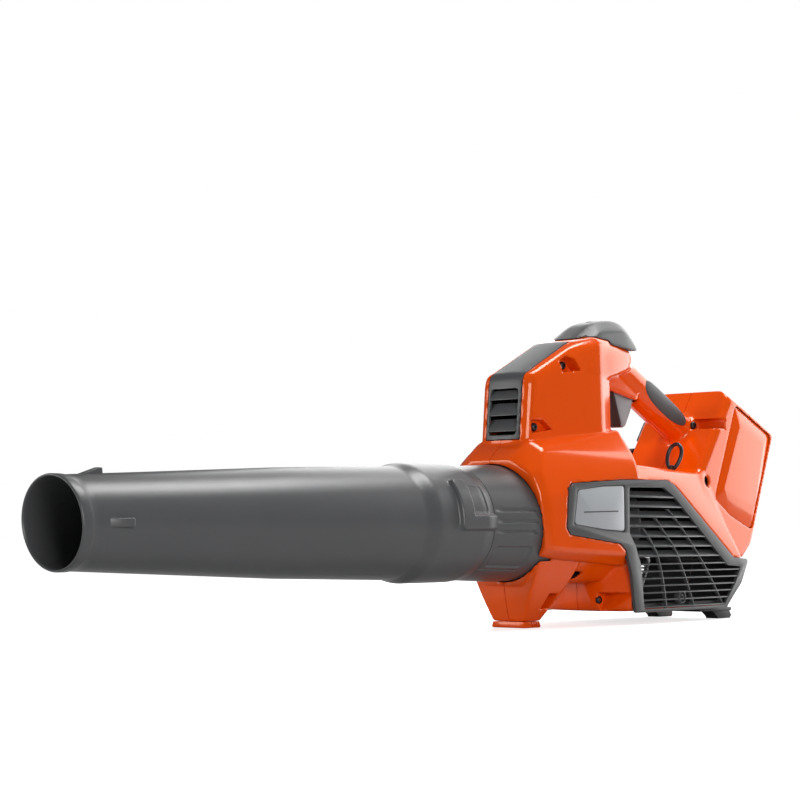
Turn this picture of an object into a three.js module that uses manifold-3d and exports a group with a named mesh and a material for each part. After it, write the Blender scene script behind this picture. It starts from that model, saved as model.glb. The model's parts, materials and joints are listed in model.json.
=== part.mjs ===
// Battery leaf blower with a two-part blow tube, side air intakes and a rear battery pack.
// Millimetres, +Z up. The nozzle points to -X and the battery pack leaves towards +X.
// The origin is the centre of the flat bottom of the front foot. The left side is -Y.
import * as THREE from 'three';
import { ConvexGeometry } from 'three/addons/geometries/ConvexGeometry.js';
import { mergeVertices } from 'three/addons/utils/BufferGeometryUtils.js';
import Module from 'manifold-3d';

const wasm = await Module();
wasm.setup();

// ---------------------------------------------------------------- driving dimensions
const GAP = 0.3; // between pieces that touch
const WALL = 2.8; // housing wall
const SEAM = 0.15; // each housing half stops this far from the centre plane

const AXIS_Z = 100; // height of the air duct's axis
const MOUTH_X = -559; // nozzle mouth
const MOUTH_RADIUS = 36.7;
const MOUTH_TILT = 4.8; // degrees, top forward
const SLEEVE_FRONT_X = -166; // the wide rear end of the nozzle tube
const SLEEVE_REAR_X = -97;
const SLEEVE_RADIUS = 54.6;
const TUBE_REAR_RADIUS = 51; // nozzle tube just ahead of its sleeve
const TUBE_WALL = 2;
const COUPLING_RADIUS = 55.4;
const SPIGOT_RADIUS = 52.1; // front end of the coupling tube, inside the sleeve
const SPIGOT_FRONT_X = -150;
const COLLAR_RADIUS = 56.4; // hole in the housing for the coupling tube
const COLLAR_X = -30; // collar plane on the duct axis
const COLLAR_LEAN = 0.14; // forward lean of the collar plane, per unit of height

const SIDE = 61; // half width over the intake panels
const BOX_SIDE = 50; // half width of the battery box
const TOWER_SIDE = 36; // half width of the tower
const TOWER_FRONT_SIDE = 30; // half width of the tower at the front of its flat sides
const BAND_HALF = 20; // half width of the grey centre band
const PANEL_THICKNESS = 3;

const HANDLE_START = [140, 270.6]; // x, z of the handle's axis in the tower head
const HANDLE_END = [285, 196]; // x, z of the handle's axis in the battery box
const HANDLE_HALF_WIDTH = 16.5;
const HANDLE_HALF_DEPTH = 17.5;

const PACK_ORIGIN = [320, 150]; // x, z of the reference point of the battery slot
const PACK_SLOPE = 27; // degrees that the slot falls towards the rear
const PACK_FRONT = -42; // along the slot
const PACK_REAR = 51;
const PACK_BOTTOM = -42; // across the slot
const PACK_TOP = 66;
const PACK_HALF_WIDTH = 42;

const DUCT_RADIUS = 48.5; // inside the fan duct
const DUCT_WALL = 2.5;
const DUCT_FRONT_X = 0;
const DUCT_REAR_X = 106;
const FAN_FRONT_X = 72;
const FAN_REAR_X = 100;
const FAN_RADIUS = 47.6;
const FAN_BLADES = 9;
const STATOR_VANES = 7;
const POD_RADIUS = 24; // motor pod in the middle of the duct
const SHAFT_RADIUS = 2.5;

const TRIGGER_PIVOT = [163, 262]; // x, z
const TRIGGER_HALF_WIDTH = 8;

const FOOT_LENGTH = 24;
const FOOT_HALF_WIDTH = 20.8;
const REAR_FOOT_Y = 37.2;
const REAR_FOOT_HALF_WIDTH = 7.5;

// ---------------------------------------------------------------- outlines, as [x, z]
const PANEL_OUTLINE = [
  [14, 137.5], [92, 142], [170, 143], [182, 138], [289, 64], [317, 62], [303, 37],
  [285, 22], [274, 12], [112, 11.5], [106, 50], [97, 74], [88, 80], [8, 89], [3, 95], [6, 132],
];
const GRILLE_OUTLINE = [
  [103, 135], [162, 135.5], [180, 127], [278, 56], [303, 54.5], [291, 37], [270, 15],
  [126, 14.5], [121.5, 58], [112, 78], [102.5, 90],
];
const LABEL_OUTLINE = [[20, 131], [60, 135], [94, 136], [94, 92], [60, 94], [14, 99]];
const TRIGGER_OUTLINE = [
  [147, 247], [151, 235], [164, 200.5], [168, 197.5], [173, 200], [182.5, 216], [186, 227], [184, 240],
  [172, 264], [164, 269], [155, 266], [150, 255],
];
const VENT_SLATS = [218.6, 203.2, 187.8]; // heights of the slats' lower edges
const VENT_WINDOW = [184.5, 229.3];

// ---------------------------------------------------------------- solids
function solid(geometry) {
  geometry.deleteAttribute('normal');
  geometry.deleteAttribute('uv');
  const merged = mergeVertices(geometry, 1e-3);
  const position = merged.attributes.position;
  const index = merged.index.array;
  const corner = [new THREE.Vector3(), new THREE.Vector3(), new THREE.Vector3()];
  const triangles = [];
  let volume = 0;
  for (let i = 0; i < index.length; i += 3) {
    const [a, b, c] = [index[i], index[i + 1], index[i + 2]];
    if (a === b || b === c || c === a) continue;
    corner.forEach((v, k) => v.fromBufferAttribute(position, index[i + k]));
    volume += corner[0].dot(corner[1].cross(corner[2]));
    triangles.push([a, b, c]);
  }
  if (volume < 0) triangles.forEach((t) => t.reverse());
  return new wasm.Manifold(new wasm.Mesh({
    numProp: 3,
    vertProperties: new Float32Array(position.array),
    triVerts: new Uint32Array(triangles.flat()),
  }));
}

function hull(points) {
  return solid(new ConvexGeometry(points.map((p) => new THREE.Vector3(...p))));
}

// Both sides of the centre plane: every [x, z] at +y and -y.
function mirrored(halfWidth, outline) {
  return outline.flatMap(([x, z]) => [[x, halfWidth, z], [x, -halfWidth, z]]);
}

// An [x, z] outline pushed along Y from y0 to y1.
function prism(outline, y0, y1) {
  const shape = new THREE.Shape(outline.map(([x, z]) => new THREE.Vector2(x, z)));
  const geometry = new THREE.ExtrudeGeometry(shape, { depth: y1 - y0, bevelEnabled: false });
  geometry.rotateX(Math.PI / 2);
  geometry.translate(0, y1, 0);
  return solid(geometry);
}

function box(x0, x1, y0, y1, z0, z1) {
  const geometry = new THREE.BoxGeometry(x1 - x0, y1 - y0, z1 - z0);
  geometry.translate((x0 + x1) / 2, (y0 + y1) / 2, (z0 + z1) / 2);
  return solid(geometry);
}

// A turned piece on the duct's axis: the profile is [x, radius].
function turned(profile, sides = 48) {
  const points = profile.map(([x, radius]) => new THREE.Vector2(radius, x));
  const geometry = new THREE.LatheGeometry(points, sides);
  geometry.rotateZ(-Math.PI / 2);
  geometry.translate(0, 0, AXIS_Z);
  return solid(geometry);
}

function tube(x0, x1, inner, outer, sides = 48) {
  return turned([[x0, inner], [x0, outer], [x1, outer], [x1, inner], [x0, inner]], sides);
}

function rod(x0, x1, radius, sides = 24) {
  return turned([[x0, 0], [x0, radius], [x1, radius], [x1, 0]], sides);
}

// A round bar along Y.
function crossBar(x, z, y0, y1, radius, sides = 16) {
  const geometry = new THREE.CylinderGeometry(radius, radius, y1 - y0, sides);
  geometry.translate(x, (y0 + y1) / 2, z);
  return solid(geometry);
}

// The same solid made smaller by a wall on every side of its box.
function inset(shape, wall) {
  const { min, max } = shape.boundingBox();
  const centre = min.map((low, i) => (low + max[i]) / 2);
  const factor = min.map((low, i) => 1 - (2 * wall) / (max[i] - low));
  return shape.translate(centre.map((c) => -c)).scale(factor).translate(centre);
}

function union(shapes) {
  return shapes.reduce((sum, shape) => sum.add(shape));
}

// A round tube of one radius through a list of [x, y, z] points.
function wire(points, radius, steps = 36, sides = 2) {
  const centres = points.map((p) => new THREE.Vector3(...p));
  const curve = new THREE.CatmullRomCurve3(centres, false, 'centripetal');
  const section = new THREE.Shape();
  section.absarc(0, 0, radius, 0, 2 * Math.PI, false);
  return solid(new THREE.ExtrudeGeometry(section, {
    steps, curveSegments: sides, bevelEnabled: false, extrudePath: curve,
  }));
}

// An outline grown by a distance, for a clearance around it.
function offsetOutline(outline, distance) {
  const count = outline.length;
  return outline.map(([x, z], i) => {
    const [px, pz] = outline[(i + count - 1) % count];
    const [nx, nz] = outline[(i + 1) % count];
    const before = new THREE.Vector2(x - px, z - pz).normalize();
    const after = new THREE.Vector2(nx - x, nz - z).normalize();
    const normal = new THREE.Vector2(-(before.y + after.y), before.x + after.x).normalize();
    const reach = distance / (normal.x * -before.y + normal.y * before.x);
    return [x + normal.x * reach, z + normal.y * reach];
  });
}

// ---------------------------------------------------------------- battery slot frame
const slope = THREE.MathUtils.degToRad(PACK_SLOPE);

// A point given along and across the battery slot, as [x, z].
function inSlot(along, across) {
  return [
    PACK_ORIGIN[0] + along * Math.cos(slope) + across * Math.sin(slope),
    PACK_ORIGIN[1] - along * Math.sin(slope) + across * Math.cos(slope),
  ];
}

function slotBlock(along0, along1, across0, across1, y0, y1) {
  return prism([
    inSlot(along0, across0), inSlot(along1, across0), inSlot(along1, across1), inSlot(along0, across1),
  ], y0, y1);
}

// ---------------------------------------------------------------- housing lobes
const collarX = (z) => COLLAR_X - COLLAR_LEAN * (z - AXIS_Z);

// A section of the duct barrel across X, as [half width, z], on the leaning collar plane.
function barrelRing(offset, ring) {
  return ring.flatMap(([y, z]) => [[collarX(z) + offset, y, z], [collarX(z) + offset, -y, z]]);
}

const barrel = hull([
  ...barrelRing(0, [[24, 160], [48, 146], [57, 124], [58, 104], [58, 77], [50, 69]]),
  ...barrelRing(9, [[30, 168], [54, 148], [SIDE, 122], [SIDE, 75], [51, 67]]),
  ...barrelRing(25, [[30, 179], [46, 169]]),
  ...mirrored(36, [[120, 193]]),
  ...mirrored(30, [[150, 165]]),
  ...mirrored(56, [[120, 165]]),
  ...mirrored(SIDE, [[120, 150], [130, 68]]),
  ...mirrored(50, [[106, 58], [130, 58]]),
]);
const keel = hull([
  ...barrelRing(2, [[46, 80], [43, 62], [27, 43], [20, 40]]),
  ...mirrored(44, [[118, 80], [118, 60]]),
  ...mirrored(26, [[110, 42]]),
]);
const leg = hull([
  ...mirrored(45, [[-20, 70], [46, 66]]),
  ...mirrored(37, [[-18, 46], [39, 45]]),
  ...mirrored(29.5, [[-17, 30], [31, 30]]),
  ...mirrored(20, [[-11, 6.3], [12, 6.3]]),
]);
const chamber = hull([
  ...mirrored(SIDE, [[113, 20], [290, 20], [310, 62], [182, 143], [113, 143]]),
  ...mirrored(53, [[110, 12.5], [284, 12.5]]),
  ...mirrored(20, [[97, 18], [100, 12.5], [97, 140]]),
  ...mirrored(50, [[120, 160], [185, 153], [248, 152]]),
]);
const tower = hull([
  ...mirrored(TOWER_SIDE, [[92, 278], [97, 170]]),
  ...mirrored(TOWER_FRONT_SIDE, [[-13.5, 170], [-8, 236], [-5, 242], [30, 259.5], [53, 273.5]]),
  ...mirrored(26, [[-18.5, 172], [-13, 238], [-9, 243.5]]),
  ...mirrored(20.5, [[-11, 243.5], [31, 264], [58, 278.5]]),
  ...mirrored(12, [[-22, 172], [-14.5, 239], [-11, 244.5], [31, 265.5], [60, 279.5]]),
  ...mirrored(28, [[92, 285], [118, 283], [118, 172]]),
]);
const head = hull([
  ...mirrored(TOWER_SIDE - 0.5, [[70, 250], [92, 279], [114, 274], [112, 243]]),
  ...mirrored(31, [[142, 274], [138, 249]]),
  ...mirrored(26, [[88, 286], [150, 281], [164, 277], [158, 252]]),
  ...mirrored(16, [[179, 271], [175, 257]]),
]);

// A ring of the handle across its axis; grow is added to its half sizes.
function handleRing([x, z], grow) {
  const [dx, dz] = [HANDLE_END[0] - HANDLE_START[0], HANDLE_END[1] - HANDLE_START[1]];
  const length = Math.hypot(dx, dz);
  return Array.from({ length: 16 }, (_, i) => {
    const angle = ((i + 0.5) / 16) * 2 * Math.PI;
    const across = (HANDLE_HALF_DEPTH + grow) * Math.sin(angle);
    return [
      x - (across * dz) / length,
      (HANDLE_HALF_WIDTH + grow) * Math.cos(angle),
      z + (across * dx) / length,
    ];
  });
}

const handle = hull([...handleRing(HANDLE_START, 0), ...handleRing(HANDLE_END, 0)]);
const triggerRoot = hull(mirrored(14, [[114, 240], [146, 235.5], [186, 226.5], [192, 240], [114, 262]]));
const handleCore = hull([...handleRing([145, 268], -WALL), ...handleRing([292, 192.4], -WALL)]);
const batteryBox = hull([
  ...mirrored(BOX_SIDE, [[244, 147], [306, 233], [389, 196], [341, 78], [323, 63], [262, 84]]),
  ...mirrored(BOX_SIDE - 2.5, [[241, 147], [303, 235]]),
  ...mirrored(38, [[307, 242], [384, 204], [389, 196]]),
]);
const hump = hull([
  ...mirrored(12, [
    [76, 281], [106, 299.5], [124, 304], [146, 305.5], [158, 303.5], [172, 296.5], [182, 280],
  ]),
  ...mirrored(25, [[92, 283], [104, 290], [152, 293], [172, 277]]),
  ...mirrored(28.5, [[96, 281], [156, 276]]),
]);

const lobes = [barrel, keel, leg, chamber, tower, head, handle, triggerRoot, batteryBox];
const outer = union(lobes);
const inner = union([
  ...[barrel, keel, leg, chamber, tower, head, batteryBox].map((lobe) => inset(lobe, WALL)),
  handleCore,
]);

// ---------------------------------------------------------------- cuts in the housing
const bandOutline = [
  [-60, 180], [-60, 310], [60, 310], [60, 271], [50, 268], [4, 245], [-6, 238], [-14, 180],
];
const bandRegion = prism(bandOutline, -BAND_HALF, BAND_HALF);
const bandCut = prism(offsetOutline(bandOutline, GAP), -BAND_HALF - GAP, BAND_HALF + GAP);
const collarCut = rod(-80, -2, COLLAR_RADIUS, 64);
const PACK_CLEARANCE = 1; // all round the battery pack
const slotCut = slotBlock(
  PACK_FRONT - PACK_CLEARANCE, 90, PACK_BOTTOM - PACK_CLEARANCE, PACK_TOP + PACK_CLEARANCE,
  -PACK_HALF_WIDTH - PACK_CLEARANCE, PACK_HALF_WIDTH + PACK_CLEARANCE,
);
const cradleFloor = slotBlock(
  -52, 45, PACK_BOTTOM - 4, PACK_BOTTOM - PACK_CLEARANCE, -BOX_SIDE, BOX_SIDE,
);
const triggerSlot = box(138, 194, -TRIGGER_HALF_WIDTH - 1, TRIGGER_HALF_WIDTH + 1, 205, 257);
const humpCut = box(104, 158, -20, 20, 270, 320);
const drainHole = box(44, 58, -46, -24, 45, 54); // through the keel, on the left only

const panelHole = offsetOutline(PANEL_OUTLINE, GAP);

// Housing screws: x, z, then the y of the head's seat, of the access hole's start and of the shank's end.
const SCREWS = {
  screw_tower_lower: [-1, 192, -23, -40, 20],
  screw_tower_upper: [46, 254, -22, -40, 20],
  screw_handle: [281, 204, -17, -55, 16],
  screw_belly: [102, 24, -22, -66, 20],
  screw_box: [256, 143, -38, -66, 20],
};
const HEAD_RADIUS = 4;
const SHANK_RADIUS = 2;
const ACCESS_RADIUS = 5.2;
const BOSS_RADIUS = 6.8;
const PIVOT_BOSS = [12.5, 25]; // |y| where each trigger pin boss starts and ends

// The posts that the screws and the trigger pin need, on one half.
function bosses(side) {
  const posts = Object.values(SCREWS).map(([x, z, , access]) => (side < 0
    ? crossBar(x, z, access, -SEAM, BOSS_RADIUS, 16)
    : crossBar(x, z, SEAM, -access, BOSS_RADIUS, 16)));
  const [near, far] = PIVOT_BOSS;
  const [x, z] = TRIGGER_PIVOT;
  posts.push(side < 0 ? crossBar(x, z, -far, -near, 5, 16) : crossBar(x, z, near, far, 5, 16));
  return union(posts);
}

function screwHoles() {
  return union(Object.values(SCREWS).flatMap(([x, z, seat, access, depth]) => [
    crossBar(x, z, access - 1, seat, ACCESS_RADIUS, 16),
    crossBar(x, z, seat - 1, depth, SHANK_RADIUS + GAP, 8),
  ]));
}

// ---------------------------------------------------------------- housing halves
const ribHole = rod(-40, 120, DUCT_RADIUS + DUCT_WALL + GAP, 48);
const ductRibs = union([box(10, 13, -70, 70, 30, 172), box(88, 91, -70, 70, 30, 172)]).subtract(ribHole);
const slotRails = union([
  slotBlock(-40, 44, 18, 24, PACK_HALF_WIDTH + 1, BOX_SIDE),
  slotBlock(-40, 44, 18, 24, -BOX_SIDE, -PACK_HALF_WIDTH - 1),
]);
const pinHole = crossBar(TRIGGER_PIVOT[0], TRIGGER_PIVOT[1], -16.5, 16.5, SHANK_RADIUS + GAP, 12);
const deckPocket = box(200.7, 209.3, -47.3, -36.7, 150.4, 170);

function housingHalf(side) {
  const hollow = outer.subtract(inner);
  const fittings = union([cradleFloor, ductRibs, slotRails, bosses(side)]).intersect(outer);
  const panelCut = side < 0
    ? prism(panelHole, -SIDE - 2, -SIDE + PANEL_THICKNESS + GAP)
    : prism(panelHole, SIDE - PANEL_THICKNESS - GAP, SIDE + 2);
  const cuts = union([
    collarCut, bandCut, slotCut, triggerSlot, humpCut, drainHole, panelCut, screwHoles(),
    pinHole, deckPocket, padCut,
  ]);
  const half = side < 0 ? box(-200, 500, -100, -SEAM, -10, 400) : box(-200, 500, SEAM, 100, -10, 400);
  return hollow.add(fittings).subtract(cuts).intersect(half);
}

// ---------------------------------------------------------------- grey centre band with the front vent
function frontVent() {
  const skin = tower.subtract(inset(tower, WALL)).intersect(bandRegion);
  const window = box(-60, -6, -17, 17, VENT_WINDOW[0], VENT_WINDOW[1]);
  const slats = VENT_SLATS.map((z) => {
    const face = -20.5 + 0.12 * (z - 187); // x of the band's face at this height
    return hull(mirrored(18, [[face, z], [face + 1.5, z], [face + 8, z + 11.5], [face + 6.5, z + 11.5]]));
  });
  return skin.subtract(window).add(union(slats).intersect(bandRegion.intersect(tower)));
}

// ---------------------------------------------------------------- keypad on the tower
const BUTTONS = { power_button: 126, boost_button: 146 }; // x of each button's centre
const BUTTON_RADIUS = 6;
const BUTTON_TOP = 305;

function upright(x, y, z0, z1, radius, sides = 24) {
  const geometry = new THREE.CylinderGeometry(radius, radius, z1 - z0, sides);
  geometry.rotateX(Math.PI / 2);
  geometry.translate(x, y, (z0 + z1) / 2);
  return solid(geometry);
}

function keypadCap() {
  const holes = Object.values(BUTTONS).map((x) => upright(x, 0, 290, 320, BUTTON_RADIUS + GAP));
  return hump
    .subtract(inset(hump, WALL))
    .subtract(outer.translate([0, 0, GAP]))
    .subtract(outer)
    .subtract(union(holes));
}

// ---------------------------------------------------------------- intake panels
const BAR_HEIGHT = 2;
const BAR_ZS = [
  ...Array.from({ length: 7 }, (_, i) => 125.6 - 9.85 * i),
  ...Array.from({ length: 7 }, (_, i) => 58.7 - 7.1 * i),
];
const RIBS = [ // lower ends of the three curved ribs and the run back of their tops
  [[165, 14], [159, 44], [151, 66], [144, 76], [136, 85], [125, 95]],
  [[215, 14], [197, 49], [181, 74], [164, 89], [156, 97], [147, 105]],
  [[268, 14], [255, 32], [229, 62], [198, 91], [177, 108], [168, 114]],
];
const PANEL_SCREW = [193, 25]; // x, z of the oval boss on each grille

function intakePanel(side) {
  const [y0, y1] = side < 0 ? [-SIDE, -SIDE + PANEL_THICKNESS] : [SIDE - PANEL_THICKNESS, SIDE];
  const [labelOuter, labelFloor] = side < 0 ? [-SIDE - 1, -SIDE + 1] : [SIDE - 1, SIDE + 1];
  const window = prism(GRILLE_OUTLINE, y0 - 1, y1 + 1);
  const region = prism(offsetOutline(GRILLE_OUTLINE, 1.5), y0, y1);
  const bars = BAR_ZS.map((z) => box(98, 310, y0, y1, z - BAR_HEIGHT / 2, z + BAR_HEIGHT / 2));
  const ribs = RIBS.map((line) => {
    const shifted = line.map(([x, z]) => [x + 2, z]).reverse();
    return prism([...line, ...shifted], y0, y1);
  });
  const boss = crossBar(PANEL_SCREW[0], PANEL_SCREW[1], y0, y1, 6.5, 16);
  const hole = crossBar(PANEL_SCREW[0], PANEL_SCREW[1], y0 - 1, y1 + 1, SHANK_RADIUS + GAP, 12);
  return prism(PANEL_OUTLINE, y0, y1)
    .subtract(window)
    .add(union([...bars, ...ribs, boss]).intersect(region))
    .subtract(prism(offsetOutline(LABEL_OUTLINE, GAP), labelOuter, labelFloor))
    .subtract(hole);
}

function labelPlate(side) {
  const outside = SIDE + 0.2;
  const inside = SIDE - 1 + GAP;
  return side < 0 ? prism(LABEL_OUTLINE, -outside, -inside) : prism(LABEL_OUTLINE, inside, outside);
}

// ---------------------------------------------------------------- blow tube
function tiltedMouthCut() {
  const block = new THREE.BoxGeometry(60, 200, 200);
  block.translate(-30, 0, 0);
  block.rotateY(THREE.MathUtils.degToRad(MOUTH_TILT));
  block.translate(MOUTH_X, 0, AXIS_Z);
  return solid(block);
}

// Raised wedges that hold a clip-on nozzle, on the top and on both sides of the mouth.
function mouthWedges() {
  const y = 3.5;
  const wedge = hull([
    ...mirrored(y, [[MOUTH_X + 22, 36], [MOUTH_X + 40, 36], [MOUTH_X + 40, 41.5], [MOUTH_X + 37, 41.8]]),
  ]);
  return [0, 90, 270].map((turn) => wedge.rotate([turn, 0, 0]).translate([0, 0, AXIS_Z]));
}

function nozzleTube() {
  const front = MOUTH_X - 6;
  const step = SLEEVE_FRONT_X - 8;
  const profile = [
    [front, MOUTH_RADIUS + 0.9], [MOUTH_X + 6, MOUTH_RADIUS + 0.9], [MOUTH_X + 8, MOUTH_RADIUS + 0.2],
    [MOUTH_X + 90, 40.5], [-330, 47], [step, TUBE_REAR_RADIUS],
    [SLEEVE_FRONT_X, SLEEVE_RADIUS], [SLEEVE_REAR_X, SLEEVE_RADIUS],
    [SLEEVE_REAR_X, SPIGOT_RADIUS + 0.4], [SLEEVE_FRONT_X + 8, SPIGOT_RADIUS + 0.4],
    [SLEEVE_FRONT_X + 2, TUBE_REAR_RADIUS - TUBE_WALL], [-330, 47 - TUBE_WALL],
    [MOUTH_X + 90, 40.5 - TUBE_WALL], [front, MOUTH_RADIUS - 1.6],
    [front, MOUTH_RADIUS + 0.9],
  ];
  const body = turned(profile, 44);
  const bore = turned([
    [front - 1, 0], [front - 1, MOUTH_RADIUS - 1.6], [MOUTH_X + 90, 40.5 - TUBE_WALL],
    [-330, 45], [-330, 0],
  ], 44);
  const wedges = union(mouthWedges()).subtract(bore);
  return body.add(wedges).subtract(tiltedMouthCut()).add(bayonetBoss()).subtract(bayonetTrack());
}

// The L-shaped bayonet: a raised hollow on the sleeve, and the stud on the spigot that runs in it.
// Angles are in degrees from the top towards the left side.
const BAYONET = {
  radius: 58.4, trackRadius: 56, front: -146, rear: -124, top: 48, corner: 82, bottom: 97, wall: 3,
};

function sector(x0, x1, inner, outer, from, to) {
  const steps = Math.max(1, Math.round((to - from) / 8));
  const points = [];
  for (let i = 0; i <= steps; i += 1) {
    points.push([outer, from + ((to - from) * i) / steps]);
  }
  for (let i = steps; i >= 0; i -= 1) {
    points.push([inner, from + ((to - from) * i) / steps]);
  }
  const shape = new THREE.Shape(points.map(([radius, degrees]) => {
    const angle = THREE.MathUtils.degToRad(degrees);
    return new THREE.Vector2(radius * Math.sin(angle), radius * Math.cos(angle));
  }));
  const geometry = new THREE.ExtrudeGeometry(shape, { depth: x1 - x0, bevelEnabled: false });
  geometry.applyMatrix4(new THREE.Matrix4().set(0, 0, 1, x0, -1, 0, 0, 0, 0, 1, 0, AXIS_Z, 0, 0, 0, 1));
  return solid(geometry);
}

function bayonetBoss() {
  const { radius, front, rear, top, corner, bottom } = BAYONET;
  const inside = SPIGOT_RADIUS + 0.4;
  return sector(front, rear, inside, radius, top, bottom)
    .add(sector(front, SLEEVE_REAR_X, inside, radius, corner, bottom));
}

function bayonetTrack() {
  const { trackRadius, front, rear, top, corner, bottom, wall } = BAYONET;
  const inside = SPIGOT_RADIUS - 2;
  return sector(front + wall, rear - wall, inside, trackRadius, top + wall, bottom - wall)
    .add(sector(front + wall, SLEEVE_REAR_X + 1, inside, trackRadius, corner + wall, bottom - wall));
}

// Grip grooves on each side of the coupling tube, in degrees from the top.
const GROOVE_TURNS = [77.5, 88.5, 99];

function gripCut(x0, x1, middle, halfWidth) {
  return sector(
    x0, x1, SPIGOT_RADIUS + 1.4, COUPLING_RADIUS + 2, middle - halfWidth, middle + halfWidth,
  );
}

function couplingTube() {
  const profile = [
    [SPIGOT_FRONT_X, SPIGOT_RADIUS - 2.4], [SPIGOT_FRONT_X, SPIGOT_RADIUS],
    [SLEEVE_REAR_X + GAP + 1, SPIGOT_RADIUS], [SLEEVE_REAR_X + GAP + 1, SPIGOT_RADIUS + 1],
    [-45, COUPLING_RADIUS], [-3, COUPLING_RADIUS],
    [-3, COUPLING_RADIUS - 3], [SLEEVE_REAR_X + 4, SPIGOT_RADIUS - 2.4],
    [SPIGOT_FRONT_X, SPIGOT_RADIUS - 2.4],
  ];
  const { front, rear, top, wall } = BAYONET;
  const stud = sector(
    front + wall + 4, rear - wall - 4, SPIGOT_RADIUS - 1, SPIGOT_RADIUS + 3, top + 4, top + 9,
  );
  const grooves = [];
  for (const side of [-1, 1]) {
    for (const turn of GROOVE_TURNS) {
      grooves.push(gripCut(-94, -36, side * turn, 1.3));
    }
    grooves.push(gripCut(-90, -38, side * 127, 12));
  }
  return turned(profile, 44).subtract(union(grooves)).add(stud);
}

// ---------------------------------------------------------------- fan and motor
function fanDuct() {
  const ring = tube(DUCT_FRONT_X, DUCT_REAR_X, DUCT_RADIUS, DUCT_RADIUS + DUCT_WALL, 36);
  const pod = tube(8, 70, POD_RADIUS - 2.4, POD_RADIUS, 24);
  const vanes = [];
  for (let i = 0; i < STATOR_VANES; i += 1) {
    const vane = hull([
      ...[POD_RADIUS - 1, DUCT_RADIUS + 1].flatMap((radius) => [
        [18, -1, radius], [18, 1, radius], [46, -1, radius], [46, 1, radius],
        [62, 7, radius], [62, 9, radius],
      ]),
    ]);
    vanes.push(vane.rotate([(i * 360) / STATOR_VANES, 0, 0]).translate([0, 0, AXIS_Z]));
  }
  const bore = tube(8, 70, POD_RADIUS - 1.2, DUCT_RADIUS + 1.2, 32);
  return ring.add(pod).add(union(vanes).intersect(bore));
}

function fan() {
  const hubProfile = [
    [FAN_FRONT_X, SHAFT_RADIUS + GAP], [FAN_FRONT_X, POD_RADIUS], [FAN_REAR_X - 10, POD_RADIUS],
    [FAN_REAR_X - 3, POD_RADIUS - 6], [FAN_REAR_X, SHAFT_RADIUS + 5], [FAN_REAR_X, SHAFT_RADIUS + GAP],
    [FAN_FRONT_X, SHAFT_RADIUS + GAP],
  ];
  const blades = [];
  for (let i = 0; i < FAN_BLADES; i += 1) {
    const blade = hull([
      [FAN_FRONT_X + 1, -9, 20], [FAN_FRONT_X + 2, -10, 20],
      [FAN_REAR_X - 12, 8, 20], [FAN_REAR_X - 13, 9, 20],
      [FAN_FRONT_X + 5, -15, 50], [FAN_FRONT_X + 6, -16, 50],
      [FAN_REAR_X - 8, 15, 50], [FAN_REAR_X - 9, 16, 50],
    ]);
    blades.push(blade.rotate([(i * 360) / FAN_BLADES, 0, 0]).translate([0, 0, AXIS_Z]));
  }
  const sweep = tube(FAN_FRONT_X, FAN_REAR_X, POD_RADIUS - 5, FAN_RADIUS, 36);
  return turned(hubProfile, 24).add(union(blades).intersect(sweep));
}

const STATOR_X = [18, 56];
const PLATE_XS = { front: [10, 13.5], rear: [60.5, 64] };
const BEARING_RADIUS = 8;

// ---------------------------------------------------------------- battery pack
function slotHull(along0, along1, across0, across1, halfWidth, bevel) {
  const corners = (inner) => [
    inSlot(along0 + inner, across0 + inner), inSlot(along1 - inner, across0 + inner),
    inSlot(along1 - inner, across1 - inner), inSlot(along0 + inner, across1 - inner),
  ];
  return hull([...mirrored(halfWidth - bevel, corners(0)), ...mirrored(halfWidth, corners(bevel))]);
}

const LID_START = 38;
const LATCH = { along: [44, 55], across: [48, 64], halfWidth: 14, travel: 3 };
const CHARGE = { across: 20, radius: 4 };

function slotPin(across, y, along0, along1, radius) {
  const geometry = new THREE.CylinderGeometry(radius, radius, along1 - along0, 20);
  geometry.rotateZ(-Math.PI / 2);
  geometry.translate((along0 + along1) / 2, 0, 0);
  geometry.rotateY(slope);
  const [x, z] = inSlot(0, across);
  geometry.translate(x, y, z);
  return solid(geometry);
}

const BLADE_YS = { contact_blade_left: -12, contact_blade_right: 12 };

function batteryCase() {
  const slots = Object.values(BLADE_YS).map((y) => (
    slotBlock(PACK_FRONT - 1, PACK_FRONT + 8, -8, 12, y - 1, y + 1)
  ));
  const sideSlots = [-1, 1].map((side) => {
    const wall = side * PACK_HALF_WIDTH;
    return slotBlock(PACK_FRONT - 1, LID_START + 1, 16, 26, wall - 1.5, wall + 1.5);
  });
  return slotHull(PACK_FRONT, LID_START, PACK_BOTTOM, PACK_TOP, PACK_HALF_WIDTH, 3)
    .subtract(union([...slots, ...sideSlots]));
}

function batteryLid() {
  const { along, across, halfWidth, travel } = LATCH;
  const pocket = slotBlock(
    along[0] - GAP, 60, across[0] - travel - GAP, across[1] + GAP,
    -halfWidth - GAP, halfWidth + GAP,
  );
  const hole = slotPin(CHARGE.across, 0, PACK_REAR - 5, PACK_REAR + 1, CHARGE.radius + GAP);
  return slotHull(LID_START + GAP, PACK_REAR, PACK_BOTTOM, PACK_TOP, PACK_HALF_WIDTH, 3)
    .subtract(pocket)
    .subtract(hole);
}

// ---------------------------------------------------------------- small pieces
function frontFoot() {
  const low = 1.2;
  return hull([
    ...mirrored(FOOT_HALF_WIDTH - low, [[-10.5, 0], [10.5, 0]]),
    ...mirrored(FOOT_HALF_WIDTH, [[-FOOT_LENGTH / 2, low], [FOOT_LENGTH / 2, low]]),
    ...mirrored(FOOT_HALF_WIDTH - 2, [[-FOOT_LENGTH / 2, 6], [FOOT_LENGTH / 2, 6]]),
  ]);
}

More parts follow.
